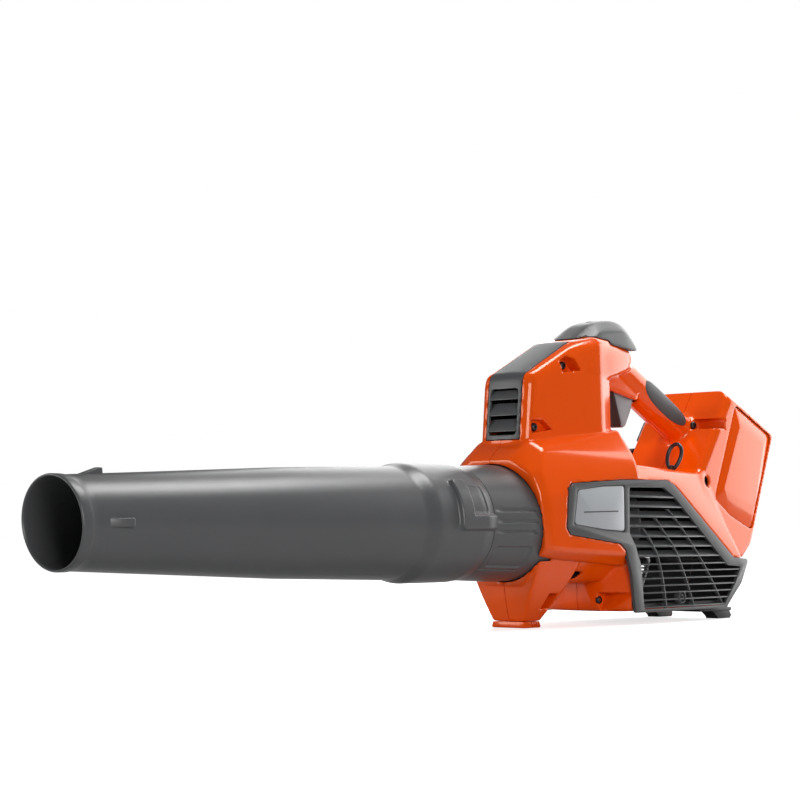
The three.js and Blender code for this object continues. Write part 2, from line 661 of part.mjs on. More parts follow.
function baseCover() {
  const foot = [[268, 12.2], [281, 3], [283, 0], [306, 0], [308.5, 3], [302, 12.2]];
  const feet = [-1, 1].map((side) => {
    const centre = side * REAR_FOOT_Y;
    return prism(foot, centre - REAR_FOOT_HALF_WIDTH, centre + REAR_FOOT_HALF_WIDTH);
  });
  return union([box(236, 296, -53, 53, 8.5, 12.2), ...feet]);
}

function screw(x, z, seat, end) {
  const head = crossBar(x, z, seat - 3.6, seat - GAP, HEAD_RADIUS, 20);
  const socket = crossBar(x, z, seat - 5, seat - 2, 2, 6);
  return head.add(crossBar(x, z, seat - 1, end, SHANK_RADIUS, 12)).subtract(socket);
}

const RING = { x: 205, y: -42, z: 155.5, radius: 11.4, wire: 1.5, lean: 20, narrow: 0.72, tall: 1.22 };

function hangingRing() {
  const geometry = new THREE.TorusGeometry(RING.radius, RING.wire, 6, 24);
  geometry.rotateY(Math.PI / 2);
  geometry.scale(1, RING.narrow, RING.tall);
  geometry.translate(0, 0, RING.radius * RING.tall);
  geometry.rotateY(THREE.MathUtils.degToRad(RING.lean));
  geometry.translate(RING.x, RING.y, RING.z);
  return solid(geometry);
}

function ringClip() {
  const { x, y, z, wire: radius } = RING;
  return box(x - 4, x + 4, y - 5, y + 5, 150.7, 153.5)
    .add(hull([
      [x - 4, y - 2.5, 153], [x + 4, y - 2.5, 153], [x - 4, y + 2.5, 153], [x + 4, y + 2.5, 153],
      [x - 2.5, y - 2.5, z + 3.6], [x + 2.5, y - 2.5, z + 3.6],
      [x - 2.5, y + 2.5, z + 3.6], [x + 2.5, y + 2.5, z + 3.6],
    ]))
    .subtract(crossBar(x, z, y - 6, y + 6, radius + 1.3, 12));
}

// Dark rest on the right side of the battery box, with a round knob at its lower end.
function sideRest() {
  const face = BOX_SIDE + GAP;
  return prism([[279, 190], [294, 211], [306, 205], [290, 184]], face, face + 4.5)
    .add(prism([[266, 172], [279, 190], [290, 184], [277, 166]], face, face + 2.5))
    .add(crossBar(270, 175, face, face + 8, 6.5, 16));
}

// A soft pad set into one side of the handle.
const PAD_ALONG = [0.37, 0.88]; // where the pad starts and ends along the handle
const PAD_HALF_HEIGHT = 11;
const PAD_LIFT = 3;

function handlePoint(t) {
  return [
    HANDLE_START[0] + t * (HANDLE_END[0] - HANDLE_START[0]),
    HANDLE_START[1] + t * (HANDLE_END[1] - HANDLE_START[1]),
  ];
}

function padRegion(side, grow) {
  const [from, to] = PAD_ALONG;
  const middle = handlePoint((from + to) / 2);
  const end = handlePoint(to);
  const halfLength = Math.hypot(end[0] - middle[0], end[1] - middle[1]) + grow;
  const along = Math.atan2(HANDLE_END[1] - HANDLE_START[1], HANDLE_END[0] - HANDLE_START[0]);
  const outline = Array.from({ length: 20 }, (_, i) => {
    const angle = (i / 20) * 2 * Math.PI;
    const u = halfLength * Math.cos(angle);
    const v = (PAD_HALF_HEIGHT + grow) * Math.sin(angle) + PAD_LIFT;
    return [
      middle[0] + u * Math.cos(along) - v * Math.sin(along),
      middle[1] + u * Math.sin(along) + v * Math.cos(along),
    ];
  });
  return side < 0 ? prism(outline, -30, -4) : prism(outline, 4, 30);
}

const padFloor = hull([...handleRing(HANDLE_START, -1.5), ...handleRing(HANDLE_END, -1.5)]);
const padCutFloor = hull([...handleRing(HANDLE_START, -1.5 - GAP), ...handleRing(HANDLE_END, -1.5 - GAP)]);

function gripPad(side) {
  return handle.subtract(padFloor).intersect(padRegion(side, 0));
}

const padCut = union([-1, 1].map((side) => padRegion(side, GAP))).subtract(padCutFloor);

// ---------------------------------------------------------------- materials
function material(color, roughness, metalness = 0) {
  return new THREE.MeshStandardMaterial({ color, roughness, metalness });
}

const orange = material(0xf04b05, 0.3);
const grey = material(0x5c5e60, 0.5);
const darkGrey = material(0x3a3c3e, 0.6);
const rubber = material(0x4a4b4c, 0.85);
const steel = material(0x9a9ca0, 0.35, 1);
const copper = material(0xb5713a, 0.4, 1);
const brass = material(0xc9a24a, 0.35, 1);
const board = material(0x1f5a35, 0.6);
const aluminium = material(0xb8babd, 0.4, 1);
const label = material(0xc8cbcc, 0.4);
const black = material(0x18191a, 0.7);
const whitePlastic = material(0xd8d8d4, 0.5);

// ---------------------------------------------------------------- the assembly
const leafBlower = new THREE.Group();

function add(name, shape, finish) {
  const { vertProperties, triVerts } = shape.getMesh();
  const geometry = new THREE.BufferGeometry();
  geometry.setAttribute('position', new THREE.BufferAttribute(new Float32Array(vertProperties), 3));
  geometry.setIndex(new THREE.BufferAttribute(new Uint32Array(triVerts), 1));
  const mesh = new THREE.Mesh(geometry, finish.clone());
  mesh.name = name;
  leafBlower.add(mesh);
}

add('housing_left', housingHalf(-1), orange);
add('housing_right', housingHalf(1), orange);
add('front_vent', frontVent(), grey);
add('keypad_cap', keypadCap(), grey);
for (const [name, x] of Object.entries(BUTTONS)) {
  add(name, upright(x, 0, 295, BUTTON_TOP, BUTTON_RADIUS), darkGrey);
}
add('keypad_board', box(114, 158, -11, 11, 290.5, 292), board);
add('intake_panel_left', intakePanel(-1), grey);
add('intake_panel_right', intakePanel(1), grey);
add('label_plate_left', labelPlate(-1), label);
add('label_plate_right', labelPlate(1), label);
add('grip_pad_left', gripPad(-1), rubber);
add('grip_pad_right', gripPad(1), rubber);
add('front_foot', frontFoot(), orange);
add('base_cover', baseCover(), darkGrey);
add('hanging_ring', hangingRing(), steel);
add('ring_clip', ringClip(), darkGrey);
add('side_rest', sideRest(), darkGrey);

add('nozzle_tube', nozzleTube(), grey);
add('coupling_tube', couplingTube(), grey);

add('fan_duct', fanDuct(), darkGrey);
add('inlet_bell', turned([
  [DUCT_REAR_X + GAP, DUCT_RADIUS], [DUCT_REAR_X + GAP, DUCT_RADIUS + DUCT_WALL], [118, DUCT_RADIUS + 5],
  [126, 57], [128, 57], [128, 55], [120, 51], [DUCT_REAR_X + GAP, DUCT_RADIUS],
], 32), darkGrey);
add('fan', fan(), darkGrey);
add('fan_nut', rod(FAN_REAR_X + GAP, FAN_REAR_X + 5, 5.5, 6).subtract(
  rod(FAN_REAR_X - 1, FAN_REAR_X + 6, SHAFT_RADIUS + GAP, 24),
), steel);
add('motor_nose_cone', turned([
  [-34, 0], [-33, 4], [-24, 12], [-8, 20.5], [7.7, POD_RADIUS],
  [7.7, POD_RADIUS - 2.4], [-8, 18], [-24, 8], [-26, 0],
], 24), darkGrey);
add('motor_stator', tube(STATOR_X[0], STATOR_X[1], 12.6, 20.8, 24), copper);
add('motor_rotor', tube(STATOR_X[0] + 1, STATOR_X[1] - 1, SHAFT_RADIUS + GAP, 12, 24), steel);
add('motor_shaft', rod(5, 106, SHAFT_RADIUS, 24), steel);
for (const [end, [x0, x1]] of Object.entries(PLATE_XS)) {
  add(`motor_${end}_plate`, tube(x0, x1, BEARING_RADIUS + GAP, 20.8, 20), aluminium);
  add(`bearing_${end}`, tube(x0, x1, SHAFT_RADIUS + GAP, BEARING_RADIUS, 16), steel);
}

const [pivotX, pivotZ] = TRIGGER_PIVOT;
add('trigger', prism(TRIGGER_OUTLINE, -TRIGGER_HALF_WIDTH, TRIGGER_HALF_WIDTH).subtract(
  crossBar(pivotX, pivotZ, -20, 20, SHANK_RADIUS + GAP, 16),
), grey);
add('trigger_pin', crossBar(pivotX, pivotZ, -16, 16, SHANK_RADIUS, 16), steel);
add('trigger_spring', crossBar(pivotX, pivotZ, 8.4, 12.1, 4.6, 20).subtract(
  crossBar(pivotX, pivotZ, 8, 13, 2.6, 20),
), steel);
add('trigger_switch', prism([[200, 233.7], [224, 221.4], [224, 234.4], [200, 246.7]], -6, 6), black);

add('control_board', box(8, 84, -24, 24, 208, 209.8), board);
let heatSink = box(16, 72, -18, 18, 210.1, 213);
for (const y of [-16, -8, 0, 8, 16]) {
  heatSink = heatSink.add(box(16, 72, y - 1, y + 1, 212, 226));
}
add('heat_sink', heatSink, aluminium);
const cableStart = inSlot(-51, 16);
add('battery_cable', wire([
  [cableStart[0] - 1, 8, cableStart[1]], [262, 8, 207], [240, 8, 220], [205, 8.4, 240], [181, 10.2, 253],
  [172, 10.4, 259], [168, 10.8, 268], [160, 11, 270.5], [140, 10.5, 270], [118, 9, 258], [98, 6, 240],
  [82, 4, 226], [78, 3, 210.2],
], 2), black);
add('motor_cable', upright(60, 0, 151.6, 207.7, 2.4, 10), black);

add('terminal_block', slotBlock(-51, PACK_FRONT - 1, -14, 18, -20, 20).subtract(
  slotBlock(-53, -46, -4, 20, 6, 15),
), black);
for (const [name, y] of Object.entries(BLADE_YS)) {
  add(name, slotBlock(PACK_FRONT - 1 + GAP, PACK_FRONT + 7, -6, 10, y - 0.5, y + 0.5), brass);
}
add('battery_case', batteryCase(), darkGrey);
add('battery_lid', batteryLid(), grey);
add('battery_latch', slotBlock(
  LATCH.along[0], LATCH.along[1], LATCH.across[0], LATCH.across[1], -LATCH.halfWidth, LATCH.halfWidth,
), black);
add('charge_button', slotPin(
  CHARGE.across, 0, PACK_REAR - 3, PACK_REAR + 1.2, CHARGE.radius,
), whitePlastic);

for (const [name, [x, z, seat, , depth]] of Object.entries(SCREWS)) {
  add(name, screw(x, z, seat, depth - 2), steel);
}
const panelScrew = crossBar(PANEL_SCREW[0], PANEL_SCREW[1], -SIDE - 1.6, -SIDE - GAP, HEAD_RADIUS)
  .add(crossBar(PANEL_SCREW[0], PANEL_SCREW[1], -SIDE - 1, -SIDE + 8, SHANK_RADIUS, 12));
add('screw_panel_left', panelScrew, steel);
add('screw_panel_right', panelScrew.mirror([0, 1, 0]), steel);

export default leafBlower;
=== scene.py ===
"""Looks for a battery leaf blower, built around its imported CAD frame."""
import json
import math

import bmesh
import bpy
import numpy as np
from mathutils import Matrix, Vector


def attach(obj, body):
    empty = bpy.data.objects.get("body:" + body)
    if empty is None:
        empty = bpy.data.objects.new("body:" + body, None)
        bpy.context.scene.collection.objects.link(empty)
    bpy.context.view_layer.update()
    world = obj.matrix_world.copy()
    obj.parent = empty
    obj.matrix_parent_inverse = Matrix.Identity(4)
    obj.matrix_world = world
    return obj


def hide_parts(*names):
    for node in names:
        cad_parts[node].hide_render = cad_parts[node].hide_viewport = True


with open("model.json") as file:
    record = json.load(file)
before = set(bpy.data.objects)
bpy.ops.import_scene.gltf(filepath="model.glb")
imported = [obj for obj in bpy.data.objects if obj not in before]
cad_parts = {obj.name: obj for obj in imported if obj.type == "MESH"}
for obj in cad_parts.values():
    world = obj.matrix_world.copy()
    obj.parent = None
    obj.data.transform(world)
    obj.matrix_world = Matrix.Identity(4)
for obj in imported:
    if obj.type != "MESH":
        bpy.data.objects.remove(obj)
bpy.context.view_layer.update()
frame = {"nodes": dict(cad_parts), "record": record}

MM = 0.001

# ------------------------ camera and light
CAMERA_AT = Vector((-1.5405, -1.2338, 0.0906))
CAMERA_YAW = math.radians(48.09)    # from +Y towards +X
CAMERA_PITCH = math.radians(3.75)
CAMERA_ROLL = math.radians(-0.27)
CAMERA_LENS = 91.70

scene = bpy.context.scene
forward = Vector((
    math.sin(CAMERA_YAW) * math.cos(CAMERA_PITCH),
    math.cos(CAMERA_YAW) * math.cos(CAMERA_PITCH),
    math.sin(CAMERA_PITCH),
))
level_right = Vector((math.cos(CAMERA_YAW), -math.sin(CAMERA_YAW), 0))
level_up = level_right.cross(forward)
right = level_right * math.cos(CAMERA_ROLL) + level_up * math.sin(CAMERA_ROLL)
up = level_up * math.cos(CAMERA_ROLL) - level_right * math.sin(CAMERA_ROLL)
camera = bpy.data.objects.new("camera", bpy.data.cameras.new("camera"))
camera.data.lens = CAMERA_LENS
camera.data.sensor_width = 36
camera.data.clip_end = 100
camera.matrix_world = Matrix.Translation(CAMERA_AT) @ Matrix((right, up, -forward)).transposed().to_4x4()
scene.collection.objects.link(camera)
scene.camera = camera
scene.view_settings.view_transform = "Standard"


def area_light(name, at, towards, size, power):
    """A softbox that lights the object and isn't seen itself."""
    data = bpy.data.lights.new(name, "AREA")
    data.shape = "RECTANGLE"
    data.size, data.size_y = size
    data.energy = power
    light = bpy.data.objects.new(name, data)
    light.location = at
    light.visible_camera = False
    light.rotation_euler = (Vector(towards) - Vector(at)).to_track_quat("-Z", "Y").to_euler()
    scene.collection.objects.link(light)


area_light("top_softbox", (0.56, -0.15, 1.6), (0.1, -0.05, 0.2), (0.7, 0.8), 19)
area_light("key_softbox", (-0.9, -1.55, 0.5), (0.1, 0, 0.12), (0.8, 0.7), 13.5)
area_light("front_softbox", (-1.5, 1.15, 0.5), (0, 0, 0.12), (1.1, 0.9), 14)
area_light("rear_softbox", (1.0, -0.235, 0.40), (0.32, 0.495, 0.35), (0.6, 0.8), 5.2)
area_light("back_softbox", (1.6, 0.75, 0.85), (0, 0, 0.15), (1.6, 1.4), 21)


def map_range(nodes, links, value, from_range, to_range):
    """A value carried from one range to another, and kept inside it."""
    node = nodes.new("ShaderNodeMapRange")
    node.inputs["From Min"].default_value, node.inputs["From Max"].default_value = from_range
    node.inputs["To Min"].default_value, node.inputs["To Max"].default_value = to_range
    links.new(value, node.inputs["Value"])
    return node.outputs["Result"]


AMBIENT = 0.13
world = bpy.data.worlds.new("studio")
scene.world = world
world.use_nodes = True
sky, sky_links = world.node_tree.nodes, world.node_tree.links
seen = sky.new("ShaderNodeLightPath").outputs["Is Camera Ray"]
brightness = map_range(sky, sky_links, seen, (0, 1), (AMBIENT, 1))
sky_links.new(brightness, sky["Background"].inputs["Strength"])
sky["Background"].inputs["Color"].default_value = (1, 1, 1, 1)


# ------------------------ materials
def node_material(name):
    material = bpy.data.materials.new(name)
    material.use_nodes = True
    nodes, links = material.node_tree.nodes, material.node_tree.links
    return material, nodes, links, nodes["Principled BSDF"]


def noise(nodes, links, where, scale, detail):
    texture = nodes.new("ShaderNodeTexNoise")
    texture.inputs["Scale"].default_value = scale
    texture.inputs["Detail"].default_value = detail
    links.new(where, texture.inputs["Vector"])
    return texture.outputs["Fac"]


SMUDGE = 0.04       # how far the roughness drifts to either side


def plastic(name, colour, roughness, grain=900.0, bump=0.05, variation=0.06, metallic=0.0):
    """Moulded plastic or metal: fine grain in the relief, slow drift in colour and in gloss."""
    material, nodes, links, shader = node_material(name)
    where = nodes.new("ShaderNodeTexCoord").outputs["Object"]
    tint = nodes.new("ShaderNodeMix")
    tint.data_type = "RGBA"
    tint.inputs["A"].default_value = (*[c * (1 - variation) for c in colour], 1)
    tint.inputs["B"].default_value = (*[min(1, c * (1 + variation)) for c in colour], 1)
    links.new(noise(nodes, links, where, 14, 3), tint.inputs["Factor"])
    links.new(tint.outputs["Result"], shader.inputs["Base Color"])
    smear = noise(nodes, links, where, 55, 4)
    gloss = map_range(nodes, links, smear, (0, 1), (roughness - SMUDGE, roughness + SMUDGE))
    links.new(gloss, shader.inputs["Roughness"])
    relief = nodes.new("ShaderNodeBump")
    relief.inputs["Strength"].default_value = bump
    relief.inputs["Distance"].default_value = 0.0004
    links.new(noise(nodes, links, where, grain, 2), relief.inputs["Height"])
    links.new(relief.outputs["Normal"], shader.inputs["Normal"])
    shader.inputs["Metallic"].default_value = metallic
    return material


ORANGE = plastic("orange_shell", (0.86, 0.085, 0.0006), 0.13, grain=500, bump=0.02, variation=0.03)
orange_shader = ORANGE.node_tree.nodes["Principled BSDF"]
orange_shader.inputs["Specular IOR Level"].default_value = 0.6
orange_shader.inputs["Specular Tint"].default_value = (1, 0.78, 0.62, 1)
GREY = plastic("grey_plastic", (0.074, 0.076, 0.078), 0.40, bump=0.12)
TUBE = plastic("tube_plastic", (0.085, 0.087, 0.090), 0.34, grain=1100, bump=0.10)
DARK = plastic("dark_plastic", (0.022, 0.022, 0.024), 0.5, bump=0.12)
BLACK = plastic("black_plastic", (0.008, 0.008, 0.009), 0.55, bump=0.1)
GRIP = plastic("soft_grip", (0.07, 0.072, 0.075), 0.62, grain=1500, bump=0.35)
TRIGGER = plastic("trigger_grey", (0.23, 0.24, 0.255), 0.42, bump=0.08)
LABEL = plastic("label_silver", (0.40, 0.42, 0.44), 0.35, bump=0.05)
STEEL = plastic("steel", (0.42, 0.42, 0.43), 0.3, metallic=1.0, bump=0.05)
BLACK_STEEL = plastic("black_steel", (0.06, 0.06, 0.065), 0.35, metallic=0.8, bump=0.05)
ALUMINIUM = plastic("aluminium", (0.62, 0.62, 0.63), 0.35, metallic=1.0, bump=0.08)
COPPER = plastic("copper", (0.62, 0.26, 0.11), 0.35, metallic=1.0, bump=0.3, grain=400)
BRASS = plastic("brass", (0.72, 0.52, 0.2), 0.3, metallic=1.0, bump=0.05)
BOARD = plastic("board", (0.02, 0.13, 0.045), 0.4, bump=0.15)
WHITE = plastic("white_plastic", (0.72, 0.72, 0.70), 0.35, bump=0.04)
MATERIAL_OF = {     # material slot of the record: what its CAD nodes are finished with
    "orange_shell": ORANGE, "grey_plastic": GREY, "tube_plastic": TUBE, "dark_plastic": DARK,
    "black_plastic": BLACK, "soft_grip": GRIP, "trigger_grey": TRIGGER, "label_silver": LABEL,
    "steel": STEEL, "aluminium": ALUMINIUM, "copper": COPPER, "brass": BRASS, "board": BOARD,
    "white_plastic": WHITE,
}
SLOT_OF = {material: slot for slot, material in MATERIAL_OF.items()}
SLOT_OF[BLACK_STEEL] = "steel"
for part in frame["record"]["subparts"]:
    node = frame["nodes"][part["node"]]
    node.data.materials.clear()
    node.data.materials.append(MATERIAL_OF[part["material_slot"]])


# ------------------------ making pieces
def new_object(name, mesh):
    piece = bpy.data.objects.new(name, mesh)
    scene.collection.objects.link(piece)
    return piece


def mesh_piece(name, points, faces):
    """A mesh object from points in millimetres."""
    mesh = bpy.data.meshes.new(name)
    mesh.from_pydata((np.asarray(points, dtype=float) * MM).tolist(), [], faces)
    mesh.update()
    return new_object(name, mesh)


def apply_modifiers(piece):
    """Makes the modified mesh the piece's own mesh."""
    graph = bpy.context.evaluated_depsgraph_get()
    mesh = bpy.data.meshes.new_from_object(piece.evaluated_get(graph))
    piece.modifiers.clear()
    old = piece.data
    piece.data = mesh
    bpy.data.meshes.remove(old)


def carve(piece, tool):
    """Cuts the tool out of the piece and deletes the tool."""
    modifier = piece.modifiers.new("carve", "BOOLEAN")
    modifier.operation = "DIFFERENCE"
    modifier.solver = "MANIFOLD"
    modifier.object = tool
    apply_modifiers(piece)
    bpy.data.objects.remove(tool)


def bevel(piece, width, segments=3, angle=28.0):
    """Rounds the piece's edges that turn by more than the angle."""
    modifier = piece.modifiers.new("bevel", "BEVEL")
    modifier.width = width * MM
    modifier.segments = segments
    modifier.limit_method = "ANGLE"
    modifier.angle_limit = math.radians(angle)
    apply_modifiers(piece)
    return piece


def shade(piece, angle=32.0):
    """Smooth shading with sharp edges; faces of many corners are flat plates and stay flat."""
    for polygon in piece.data.polygons:
        polygon.use_smooth = len(polygon.vertices) < 7
    piece.data.set_sharp_from_angle(angle=math.radians(angle))


def finish_piece(piece, material, node, body="machine", angle=32.0):
    """Gives the piece its material and shading and its body, and hides the CAD node it stands for."""
    piece.data.materials.clear()
    piece.data.materials.append(material)
    shade(piece, angle)
    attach(piece, body)
    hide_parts(node)


def ring_faces(rows, columns, closed=False):
    """Quads between rings of points, one ring after another; closed joins the last to the first."""
    faces = []
    for row in range(rows if closed else rows - 1):
        this, following = row * columns, (row + 1) % rows * columns
        for i in range(columns):
            j = (i + 1) % columns
            faces.append((this + i, this + j, following + j, following + i))
    return faces


def reversed_faces(faces):
    return [face[::-1] for face in faces]


def prism(name, outline, y0, y1):
    """An [x, z] outline pushed along Y."""
    area = sum(ax * bz - bx * az for (ax, az), (bx, bz) in zip(outline, outline[1:] + outline[:1]))
    ring = outline if area > 0 else outline[::-1]
    count = len(ring)
    points = [(x, y, z) for y in (y0, y1) for x, z in ring]
    ends = [tuple(range(count)), tuple(reversed(range(count, 2 * count)))]
    return mesh_piece(name, points, ends + reversed_faces(ring_faces(2, count)))


def rounded(outline, radius, steps=5):
    """The outline with each corner replaced by a curve."""
    result = []
    count = len(outline)
    for i in range(count):
        corner = Vector(outline[i])
        before = Vector(outline[i - 1]) - corner
        after = Vector(outline[(i + 1) % count]) - corner
        turn = before.angle(after)
        reach = min(radius / math.tan(turn / 2), before.length * 0.45, after.length * 0.45)
        start = corner + before.normalized() * reach
        end = corner + after.normalized() * reach
        for step in range(steps + 1):
            t = step / steps
            result.append(tuple((1 - t) ** 2 * start + 2 * t * (1 - t) * corner + t * t * end))
    return result


def block(name, low, high):
    """A box between two corners."""
    (x0, y0, z0), (x1, y1, z1) = low, high
    return prism(name, [(x0, z0), (x1, z0), (x1, z1), (x0, z1)], y0, y1)


def hull(name, points):
    """The convex hull of the points, with its flat faces joined."""
    mesh = bpy.data.meshes.new(name)
    work = bmesh.new()
    for point in points:
        work.verts.new(Vector(point) * MM)
    made = bmesh.ops.convex_hull(work, input=work.verts)
    inner_points = [item for item in made["geom_interior"] if isinstance(item, bmesh.types.BMVert)]
    bmesh.ops.delete(work, geom=inner_points, context="VERTS")
    bmesh.ops.dissolve_limit(work, angle_limit=math.radians(0.5), verts=work.verts, edges=work.edges)
    bmesh.ops.recalc_face_normals(work, faces=work.faces)
    work.to_mesh(mesh)
    work.free()
    return new_object(name, mesh)


def turned(name, profile, centre, axis, sides=48):
    """A turned piece; its profile is (along the axis, radius) from one end to the other."""
    axis = Vector(axis).normalized()
    across = axis.orthogonal().normalized()
    other = axis.cross(across)
    points = []
    for along, radius in profile:
        for i in range(sides):
            turn = 2 * math.pi * i / sides
            radial = across * math.cos(turn) + other * math.sin(turn)
            points.append(Vector(centre) + axis * along + radial * radius)
    ends = [tuple(reversed(range(sides))), tuple(range(len(points) - sides, len(points)))]
    return mesh_piece(name, points, ring_faces(len(profile), sides) + ends)


def bar(name, start, end, radius, sides=24):
    """A round bar between two points."""
    run = Vector(end) - Vector(start)
    return turned(name, [(0, radius), (run.length, radius)], start, run, sides)


def mirrored_copy(piece, name):
    """The piece on the other side of the centre plane."""
    mesh = piece.data.copy()
    mesh.transform(Matrix.Scale(-1, 4, (0, 1, 0)))
    mesh.flip_normals()
    mesh.name = name
    return new_object(name, mesh)


def finish_both(left, material, name, angle=32.0):
    """Finishes a left piece and its copy on the right; their CAD nodes are the name with its side."""
    right = mirrored_copy(left, name + "_right")
    finish_piece(left, material, name + "_left", angle=angle)
    finish_piece(right, material, name + "_right", angle=angle)
    return left, right


def joined(name, parts):
    """One object from several closed meshes."""
    work = bmesh.new()
    for part in parts:
        work.from_mesh(part.data)
        bpy.data.objects.remove(part)
    mesh = bpy.data.meshes.new(name)
    work.to_mesh(mesh)
    work.free()
    return new_object(name, mesh)


# ------------------------ smooth shells from signed distances
def both_sides(half_width, outline):
    """The [x, z] points at both sides of the centre plane."""
    return [(x, side * half_width, z) for x, z in outline for side in (-1, 1)]


def convex(points, softness):
    """Signed distance to the hull of the points, with rounded edges; near-parallel faces count once."""
    work = bmesh.new()
    for point in points:
        work.verts.new(point)
    bmesh.ops.convex_hull(work, input=work.verts)
    faces = sorted(work.faces, key=lambda face: -face.calc_area())
    normals = []
    for face in faces:
        if all(face.normal.dot(other) < math.cos(math.radians(5)) for other in normals):
            normals.append(face.normal.copy())
    work.free()
    normals = np.array(normals)
    offsets = (np.array(points) @ normals.T).max(axis=0)

    def distance(p):
        d = p @ normals.T - offsets
        top = d.max(axis=1)
        return top + softness * np.log(np.exp((d - top[:, None]) / softness).sum(axis=1))
    return distance


def soft_min(a, b, k):
    """The lower of two distances: the union of two shapes, with a fillet k wide."""
    h = np.maximum(k - np.abs(a - b), 0) / k
    return np.minimum(a, b) - h * h * k / 4


def soft_max(a, b, k):
    """The higher of two distances: what two shapes share."""
    return -soft_min(-a, -b, k)


def cut(shape, tool, k=0.8):
    """The shape without the tool."""
    return soft_max(shape, -tool, k)


def inside_prism(p, outline, y_half, y_centre=0.0):
    """Signed distance to an [x, z] outline pushed along Y, for an outline of any shape."""
    x, z = p[:, 0], p[:, 2]
    nearest = np.full(len(p), 1e9)
    sign = np.ones(len(p))
    for (ax, az), (bx, bz) in zip(outline, outline[-1:] + outline[:-1]):
        ex, ez = bx - ax, bz - az
        wx, wz = x - ax, z - az
        t = np.clip((wx * ex + wz * ez) / (ex * ex + ez * ez), 0, 1)
        nearest = np.minimum(nearest, (wx - ex * t) ** 2 + (wz - ez * t) ** 2)
        above, below, left = z >= az, z < bz, ex * wz > ez * wx
        flip = (above & below & left) | (~above & ~below & ~left)
        sign = np.where(flip, -sign, sign)
    flat = sign * np.sqrt(nearest)
    return np.maximum(flat, np.abs(p[:, 1] - y_centre) - y_half)


def inside_box(p, low, high):
    """Signed distance to a box between two corners."""
    centre = (np.array(low) + np.array(high)) / 2
    half = (np.array(high) - np.array(low)) / 2
    return (np.abs(p - centre) - half).max(axis=1)


def on_tube_axis(p, radius, x0, x1):
    """Signed distance to a round bar along X on the blow tube's axis."""
    d = np.hypot(p[:, 1], p[:, 2] - AXIS_Z) - radius
    return np.maximum(d, np.maximum(x0 - p[:, 0], p[:, 0] - x1))


SPAN = 12               # grid points along the edge of a block
BLOCKS_AT_ONCE = 60


def grid_of(ranges):
    """Every combination of the ranges' values, one row each."""
    return np.stack(np.meshgrid(*ranges, indexing="ij"), -1).reshape(-1, 3)


def sample(distance, low, high, step):
    """Signed distances on a grid. Blocks that are clear of the surface keep their centre's value."""
    low = np.array(low)
    counts = np.ceil((np.array(high) - low) / step / SPAN).astype(int) * SPAN
    values = np.empty(counts)
    blocks = grid_of([np.arange(0, count, SPAN) for count in counts])
    at_centre = distance(low + (blocks + SPAN / 2) * step)
    near = np.abs(at_centre) <= step * SPAN * 0.9
    for (i, j, k), value in zip(blocks[~near], at_centre[~near]):
        values[i:i + SPAN, j:j + SPAN, k:k + SPAN] = value
    local = grid_of([np.arange(SPAN)] * 3)
    near_blocks = blocks[near]
    for first in range(0, len(near_blocks), BLOCKS_AT_ONCE):
        group = near_blocks[first:first + BLOCKS_AT_ONCE]
        points = (low + (group[:, None, :] + local[None]) * step).reshape(-1, 3)
        found = distance(points).reshape(len(group), SPAN, SPAN, SPAN)
        for (i, j, k), cube in zip(group, found):
            values[i:i + SPAN, j:j + SPAN, k:k + SPAN] = cube
    return values


def surface_net(values, distance, low, step, flat_y=None):
    """Points and quads of the surface where the distance is zero, drawn onto that surface.

    Where the values were cut off at flat_y, its points keep that y, so that the edge stays crisp.
    """
    low = np.array(low, dtype=float)
    inside = values < 0
    strides = np.array([values.shape[1] * values.shape[2], values.shape[2], 1])
    unit = np.eye(3, dtype=int)
    here = np.zeros(3, dtype=int)
    rings, crossings = [], []
    for axis in range(3):
        u, v = unit[(axis + 1) % 3], unit[(axis + 2) % 3]
        first = inside.take(range(values.shape[axis] - 1), axis)
        second = inside.take(range(1, values.shape[axis]), axis)
        edge = np.argwhere(first != second)
        at_start = values[tuple(edge.T)]
        at_end = values[tuple((edge + unit[axis]).T)]
        crossing = edge + (at_start / (at_start - at_end))[:, None] * unit[axis]
        ring = np.stack([(edge + shift) @ strides for shift in (-u - v, -v, here, -u)], axis=1)
        ring[at_start > 0] = ring[at_start > 0][:, ::-1]
        rings.append(ring)
        crossings.append(crossing)
    rings = np.concatenate(rings)
    crossings = np.concatenate(crossings)
    cells, index = np.unique(rings, return_inverse=True)
    index = index.reshape(rings.shape)
    weight = np.bincount(index.ravel(), minlength=len(cells))
    middle = [np.bincount(index.ravel(), np.repeat(along, 4), len(cells)) / weight for along in crossings.T]
    points = np.stack(middle, axis=1) * step + low
    on_flat = np.zeros(len(points), dtype=bool)
    if flat_y is not None:
        on_flat = np.abs(points[:, 1] - flat_y) < 0.5 * step
        points[on_flat, 1] = flat_y
    for _ in range(2):      # twice along the slope, to the surface
        value = distance(points)
        rise = [distance(points + 0.2 * along) - distance(points - 0.2 * along) for along in unit]
        slope = np.stack(rise, axis=1) / 0.4
        slope[on_flat, 1] = 0
        value[on_flat & (np.abs(value) > 0.8 * step)] = 0
        length = np.maximum((slope ** 2).sum(axis=1), 0.25)
        move = -slope * (value / length)[:, None]
        points += np.clip(move, -0.4 * step, 0.4 * step)
    return points, index


def net_piece(name, distance, low, high, step):
    """A mesh object of a shape given by its signed distance."""
    values = sample(distance, low, high, step)
    points, quads = surface_net(values, distance, low, step)
    return mesh_piece(name, points, quads.tolist())


